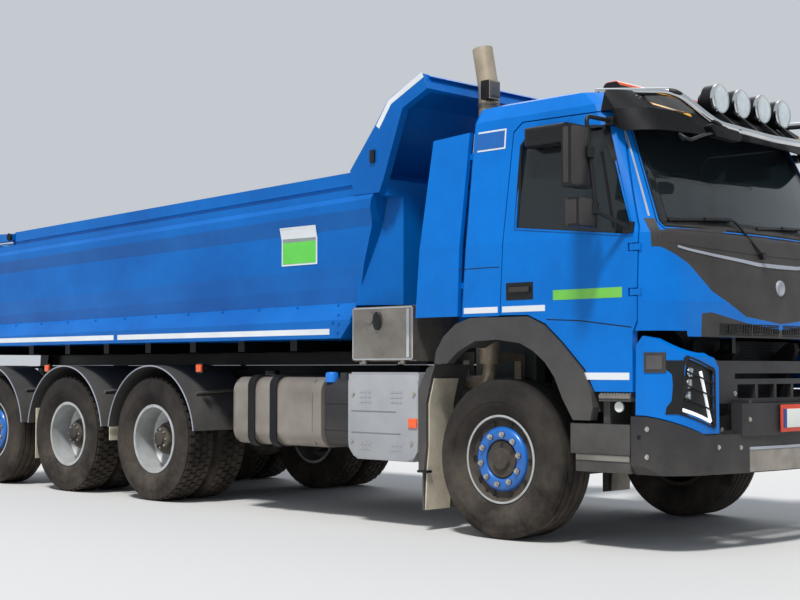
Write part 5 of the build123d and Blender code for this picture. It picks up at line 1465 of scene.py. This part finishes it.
@dataclass
class Chassis:
    """Tanks, guards, covers, pipes and the running gear's small parts."""

    guards: tuple[Pair, ...] = ((-3955, 172), (-5325, 172), (-6705, 150))
    guard_r: float = 634.0
    axle_z: float = 536.0
    cover_face: float = -1246.5

    def build(self, repeats: Repeats) -> None:
        """Make every piece of the chassis.

        Args:
            repeats: The repeated shapes.
        """
        bolts = [(Place.at(x + (40 if z == 870 else 0), side.value * 426, z), Vector((0, side.value, 0)))
                 for x in range(-7100, 1150, 150) for z in (800, 870, 960) for side in Side]
        repeats.bolts.apply(bolts, "rail_bolts", "chassis", FRAME, Radius=0.012, Height=0.01)
        self._tanks()
        self._cover(repeats)
        self._toolbox()
        self._guards()
        self._stack()
        self._springs()
        self._rear()
        self._pipes(repeats)

    @staticmethod
    def _hoop(y: float, z0: float, z1: float, r: float) -> list[Pair]:
        """Give the outer half of a rounded hoop round a tank.

        Args:
            y: Its outermost Y.
            z0: Its lowest Z.
            z1: Its highest Z.
            r: The corners' radius.

        Returns:
            Points (y, z) from below to above.
        """
        points = [(y - 260, z0)]
        for cz, start in ((z0 + r, -90), (z1 - r, 0)):
            points += [(y - r + a, cz + b) for a, b in arc(r, (start + turn for turn in range(0, 91, 15)))]
        return points + [(y - 260, z1)]

    def _tanks(self) -> None:
        """Make the tank straps, caps, end seams and the blue cap of the small tank."""
        caps, straps, seams = Form(), Form(), Form()
        hoop = self._hoop(1224, 524, 1096, 90)
        for side in Side:
            caps.lathe([(-6, 0), (22, 0), (26, 40), (20, 58), (-6, 60)], (-2620, side.value * 1000, 1108), 28, "z")
            for x in (-2615, -2345):
                outer = [(side.value * y, z) for y, z in hoop]
                inner = [(side.value * (y - 8), z + (808 - z) * 0.012) for y, z in hoop]
                straps.prism("x", outer + inner[::-1], x - 42, x + 42)
        caps.piece("tank_caps", "chassis", BLACK)
        blue = Form().lathe([(-20, 0), (52, 0), (58, 24), (54, 44), (38, 52), (-20, 52)], (-1735, -1150, 1062), 24, "z")
        blue.piece("urea_cap", "chassis", BLUE_CAP)
        straps.piece("tank_straps", "chassis", SEAL)
        outline = [(-1217, 662), (-1186, 570), (-1106, 538), (-1106, 541), (-1184, 573), (-1214, 663), (-1214, 957),
                   (-1184, 1047), (-1106, 1079), (-1106, 1082), (-1186, 1050), (-1217, 958)]
        for x in (-2838, -1890):
            seams.prism("x", outline, x - 4, x + 4)
        seams.piece("tank_seams", "chassis", STEEL)

    def _cover(self, repeats: Repeats) -> None:
        """Make the silencer's rounded cover with its ribs and bolts, its orange marker and the markers on stalks.

        Args:
            repeats: The repeated shapes.
        """
        outline = [(-1460, 620), (-1452, 560), (-1400, 500), (-1340, 480), (-850, 480), (-780, 500), (-742, 550),
                   (-735, 620), (-735, 1060), (-760, 1096), (-800, 1101), (-1400, 1101), (-1445, 1090), (-1460, 1050)]
        Form().prism("y", outline, -1246, -1224, 12).piece("silencer_cover", "chassis", COVER)
        out = Vector((0, -1, 0))
        corners = ((-1398, 961), (-772, 964), (-1410, 612), (-795, 613))
        bolts = [(Place.at(x, self.cover_face, z), out) for x, z in corners]
        repeats.bolts.apply(bolts, "cover_bolts", "chassis", NUT, Radius=0.012, Height=0.01)
        # Painted shadow: darker strips laid in the cover's two grooves
        grooves = Form().box((-1420, -950), (-1248.5, -1244), (830, 838), 1.5)
        grooves.box((-1420, -907), (-1248.5, -1244), (672, 680), 1.5).piece("cover_grooves", "chassis", GROOVE)
        raised = [(Place.at(x + i * 42, self.cover_face, z + j * 36), out) for z, levels in ((905, 3), (560, 2))
                  for x in (-1312, -990) for i in range(3) for j in range(levels)]
        repeats.blocks.apply(raised, "cover_blocks", "chassis", COVER, Size=(0.03, 0.016, 0.005))
        Form().box((-825, -740), (-1256, -1244), (722, 790), 5).piece("cover_marker", "chassis", ORANGE)
        sides, stalks = Form(), Form()
        for x in (-3320, -5704):
            sides.box((x - 34, x + 34), (-1222, -1204), (1118, 1180), 6)
            stalks.box((x - 40, x + 40), (-1206, -1190), (1106, 1192), 5)
            stalks.box((x - 14, x + 14), (-1192, -700), (1134, 1158), 3)
        sides.twin("side_markers", "chassis", ORANGE)
        stalks.twin("side_marker_stalks", "chassis", BLACK)

    @staticmethod
    def _toolbox() -> None:
        """Make the toolbox lock and the folded edge of its lid."""
        lock = Form().lathe([(0, 0), (-6, 0), (-8, 20), (-4, 34), (0, 36)], (-1145, -1255, 1494), 28, "y", (1.15, 1.9))
        lock.piece("toolbox_lock", "toolbox_door", BLACK)
        edge = Form()
        for x, z in (((-1410, -786), (1584, 1594)), ((-1410, -786), (1210, 1220)), ((-1410, -1400), (1210, 1594)),
                     ((-796, -786), (1210, 1594))):
            edge.box(x, (-1246, -1242), z, 1.5)
        edge.box((-848, -822), (-1247, -1242), (1226, 1578), 1.5).piece("toolbox_edges", "toolbox_door", CHROME)

    def _guards(self) -> None:
        """Make the edging, the flaps and the brackets of the mudguards."""
        edging, flaps, brackets = Form(), Form(), Form()
        for x, end in self.guards:
            rim = arc(self.guard_r, (8 + (end - 8) * k / 32 for k in range(33)))
            edging.tube([(x + a, -1264, self.axle_z + b) for a, b in rim], 6, 5, 6)
            for a, b in arc(self.guard_r + 16, (38, 142)):
                z = self.axle_z + b
                brackets.tube([(x + a, -1150, z), (x + a, -900, z + 16), (x + a, -470, min(z + 30, 1130))], 14, 60, 10)
        edging.twin("guard_edging", "chassis", STRIP)
        flaps.box((-4612, -4600), (-1235, -900), (500, 742), 3).box((-5865, -5853), (-1235, -900), (285, 767), 3)
        flaps.twin("guard_flaps", "chassis", FLAP)
        brackets.twin("guard_brackets", "chassis", STEEL)
        outline = [(-686, 150), (-676, 150), (-660, 420), (-640, 600), (-640, 900), (-590, 1075), (-598, 1078),
                   (-650, 905), (-650, 600), (-672, 420)]
        Form().prism("y", outline, -1225, -975).twin("front_splash", "chassis", FLAP)
        Form().box((-735, -640), (-1256, -1200), (412, 430), 4).twin("front_flap_clip", "chassis", BLACK)

    @staticmethod
    def _stack() -> None:
        """Make the exhaust's seams, and the work lamp's glass and case."""
        rings = Form()
        for z in (1560, 2350, 3060):
            rings.lathe([(-14, 74), (14, 74), (16, 79), (0, 82), (-16, 79)], (-500, -740, z), 36, "z")
        rings.piece("stack_clamps", "chassis", STEEL)
        Form().box((-352, -338), (-895, -800), (3088, 3202), 6).piece("work_lamp_glass", "chassis", LENS)
        Form().box((-436, -350), (-909, -786), (3074, 3216), 14).piece("work_lamp_case", "chassis", BLACK)

    @staticmethod
    def _springs() -> None:
        """Make the U-bolts and shock absorbers."""
        bolts, shocks = Form(), Form()
        for xs, ys, z, radius in (((-70, 70), (328, 422), (380, 640), 9), ((-4530, -4750), (433, 537), (560, 830), 11)):
            for x in xs:
                for y in ys:
                    bolts.tube([(x, -y, z[0]), (x, -y, z[1])], radius, 5, 8)
        bolts.twin("spring_bolts", "chassis", IRON)
        shocks.tube([(-210, -470, 520), (-330, -450, 950)], 34, 5, 16)
        shocks.tube([(-210, -470, 470), (-360, -448, 1010)], 14, 5, 10)
        shocks.twin("shock_absorbers", "chassis", FRAME)

    @staticmethod
    def _rear() -> None:
        """Make the tail lamp lenses and the blank rear plate."""
        for name, starts, finish in (("tail_lenses", (-1165, -965), RED_LENS), ("tail_indicators", (-1065,), ORANGE),
                                     ("tail_reversing", (-880,), LENS)):
            form = Form()
            for y in starts:
                form.box((-7396, -7384), (y, y + 78), (612, 728), 5)
            form.twin(name, "chassis", finish)
        Form().box((-7408, -7398), (-260, 260), (475, 585), 2).piece("rear_plate_blank", "chassis", PLATE)

    @staticmethod
    def _pipes(repeats: Repeats) -> None:
        """Make the air lines and tanks, the wheelhouse liners and the radiator.

        Args:
            repeats: The repeated shapes.
        """
        lines = Form()
        for y, z in ((-312, 900), (-300, 935), (304, 910)):
            lines.tube([(900, y, z), (-2000, y, z), (-2300, y + 20, z - 40), (-6900, y + 20, z - 40)], 9, 80, 8)
        lines.piece("air_lines", "chassis", SEAL)
        Form().box((1128, 1158), (-640, 640), (905, 1332), 8).piece("radiator", "chassis", SEAL)
        liner = Form().prism("y", [(640, 1000), (1120, 1000), (1120, 1330), (1040, 1400), (640, 1400)], -706, -700)
        liner.twin("wheelhouse_liners", "chassis", SEAL)
        fins = [(Place.at(1160, y, z), Vector((1, 0, 0))) for y in range(-600, 601, 120) for z in range(930, 1320, 22)]
        repeats.blocks.apply(fins, "radiator_fins", "chassis", FRAME, Size=(0.006, 0.108, 0.004))
        air = Form()
        for x in (-3150, -2950):
            air.lathe([(-190, 0), (-190, 60), (-160, 110), (160, 110), (190, 60), (190, 0)], (x, 0, 760), 32)
        air.piece("air_tanks", "chassis", FRAME)


@dataclass
class Studio:
    """Floor, light and camera. The camera stands in the truck's millimetres, with its turns in degrees."""

    spot: Point = (6200.9, -8451.0, 1145.0)
    yaw: float = 44.633
    pitch: float = 2.795
    lens: float = 63.3
    floor_half: float = 300.0

    def build(self) -> None:
        """Make the floor, the lamps, the world and the camera."""
        scene = bpy.context.scene
        scene.view_settings.view_transform = "Standard"
        mesh = bpy.data.meshes.new("floor")
        a = self.floor_half
        mesh.from_pydata([(-a, -a, 0), (a, -a, 0), (a, a, 0), (-a, a, 0)], [], [(0, 1, 2, 3)])
        floor = bpy.data.objects.new("floor", mesh)
        scene.collection.objects.link(floor)
        material = bpy.data.materials.new("pale_floor")
        material.use_nodes = True
        shader = material.node_tree.nodes["Principled BSDF"]
        shader.inputs["Base Color"].default_value = srgb("#C9C7C3")
        shader.inputs["Roughness"].default_value = 0.9
        mesh.materials.append(material)
        self._world(scene)
        self._lamps(scene)
        camera = bpy.data.objects.new("camera", bpy.data.cameras.new("camera"))
        camera.data.lens = self.lens
        camera.data.clip_end = 200
        turn = Matrix.Rotation(math.radians(self.yaw), 4, "Z")
        tilt = Matrix.Rotation(math.pi / 2 + math.radians(self.pitch), 4, "X")
        camera.matrix_world = Matrix.Translation(Place.at(*self.spot)) @ turn @ tilt
        scene.collection.objects.link(camera)
        scene.camera = camera

    @staticmethod
    def _world(scene: bpy.types.Scene) -> None:
        """Light evenly from the world, and show a pale background to the camera, glass and metal.

        Args:
            scene: The scene.
        """
        world = bpy.data.worlds.new("studio")
        scene.world = world
        world.use_nodes = True
        tree = world.node_tree
        tree.nodes.clear()
        path = put(tree, "ShaderNodeLightPath").outputs
        seen = put(tree, "ShaderNodeMath", {"operation": "ADD", "use_clamp": True}, {
            0: path["Is Camera Ray"], 1: path["Is Transmission Ray"]})
        seen = put(tree, "ShaderNodeMath", {"operation": "ADD", "use_clamp": True}, {
            0: seen.outputs[0], 1: path["Is Glossy Ray"]})
        light = put(tree, "ShaderNodeBackground", inputs={"Color": srgb("#DDE8F6"), "Strength": 0.6})
        shown = put(tree, "ShaderNodeBackground", inputs={"Color": srgb("#D9DFE6"), "Strength": 0.8})
        mixed = put(tree, "ShaderNodeMixShader", inputs={0: seen.outputs[0], 1: light.outputs[0], 2: shown.outputs[0]})
        put(tree, "ShaderNodeOutputWorld", inputs={"Surface": mixed.outputs[0]})

    @staticmethod
    def _lamps(scene: bpy.types.Scene) -> None:
        """Set a soft key lamp high on the right and a weak fill on the left.

        Args:
            scene: The scene.
        """
        for name, turn, strength, spread in (("key", (30, 4, 22), 3.3, 8), ("fill", (50, 0, -140), 0.45, 40)):
            lamp = bpy.data.lights.new(name, "SUN")
            lamp.energy = strength
            lamp.angle = math.radians(spread)
            holder = bpy.data.objects.new(name, lamp)
            holder.rotation_euler = [math.radians(a) for a in turn]
            scene.collection.objects.link(holder)


# The finish of each CAD node that stays in view, and its nodes
NODE_FINISH: tuple[tuple[Finish, str], ...] = (
    (CAB_PAINT, "cab_shell"), (DOOR_PAINT, "door_right door_left side_deflectors headlamp_panels"),
    (COWL, "front_panel"), (VISOR, "sun_visor"), (GLASS, "windscreen door_glass_right door_glass_left"),
    (FLARE, "wheel_arches steps"), (BUMPER, "bumper"), (BLACK, "headlamps roof_lights mirrors_right mirrors_left"),
    (BED_PAINT, "bed tailgate"), (FRAME, "frame_rails subframe"), (IRON, "front_axle rear_axles"), (ENGINE, "engine"),
    (TANK, "fuel_tank"), (BUMPER, "urea_tank"), (COVER, "silencer_box"), (STACK, "exhaust_stack"),
    (STEEL, "toolbox toolbox_door"), (FLARE, "left_boxes mudguards"), (FRAME, "rear_bar hoist_cover"),
    (CHROME, "hoist_stage_1 hoist_stage_2 hoist_stage_3 hoist_stage_4"),
    (IRON, "knuckle_front_right knuckle_front_left knuckle_tag_right knuckle_tag_left"),
)


def wheels() -> list[Wheel]:
    """Give the eight wheel sets, front to rear on each side.

    Returns:
        The wheels.
    """
    result = []
    for side in Side:
        single, pair = side.value * 1063.0, side.value * 926.5
        result += [Wheel(place, side, x, single) for place, x in (("front", 0.0), ("tag", -6705.0))]
        result += [Wheel(place, side, x, pair, (-175.5, 175.5), 156.0, 122.0, 106.5, False)
                   for place, x in (("drive1", -3955.0), ("drive2", -5325.0))]
    return result


def main() -> None:
    """Load the frame, dress it and set the studio."""
    logging.basicConfig(level=logging.INFO, format="%(name)s: %(message)s")
    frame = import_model()
    Place.offset = next(j["pos_m"][0] for j in frame["joints"] if j["name"] == "steer_front_right")
    Studio().build()
    for finish, nodes in NODE_FINISH:
        for node in nodes.split():
            paint(frame["nodes"][node].data, finish)
    repeats = Repeats()
    for assembly in [*wheels(), Cab(), Bed()]:
        assembly.build(repeats, frame)
    Chassis().build(repeats)


if __name__ == "__main__":
    main()
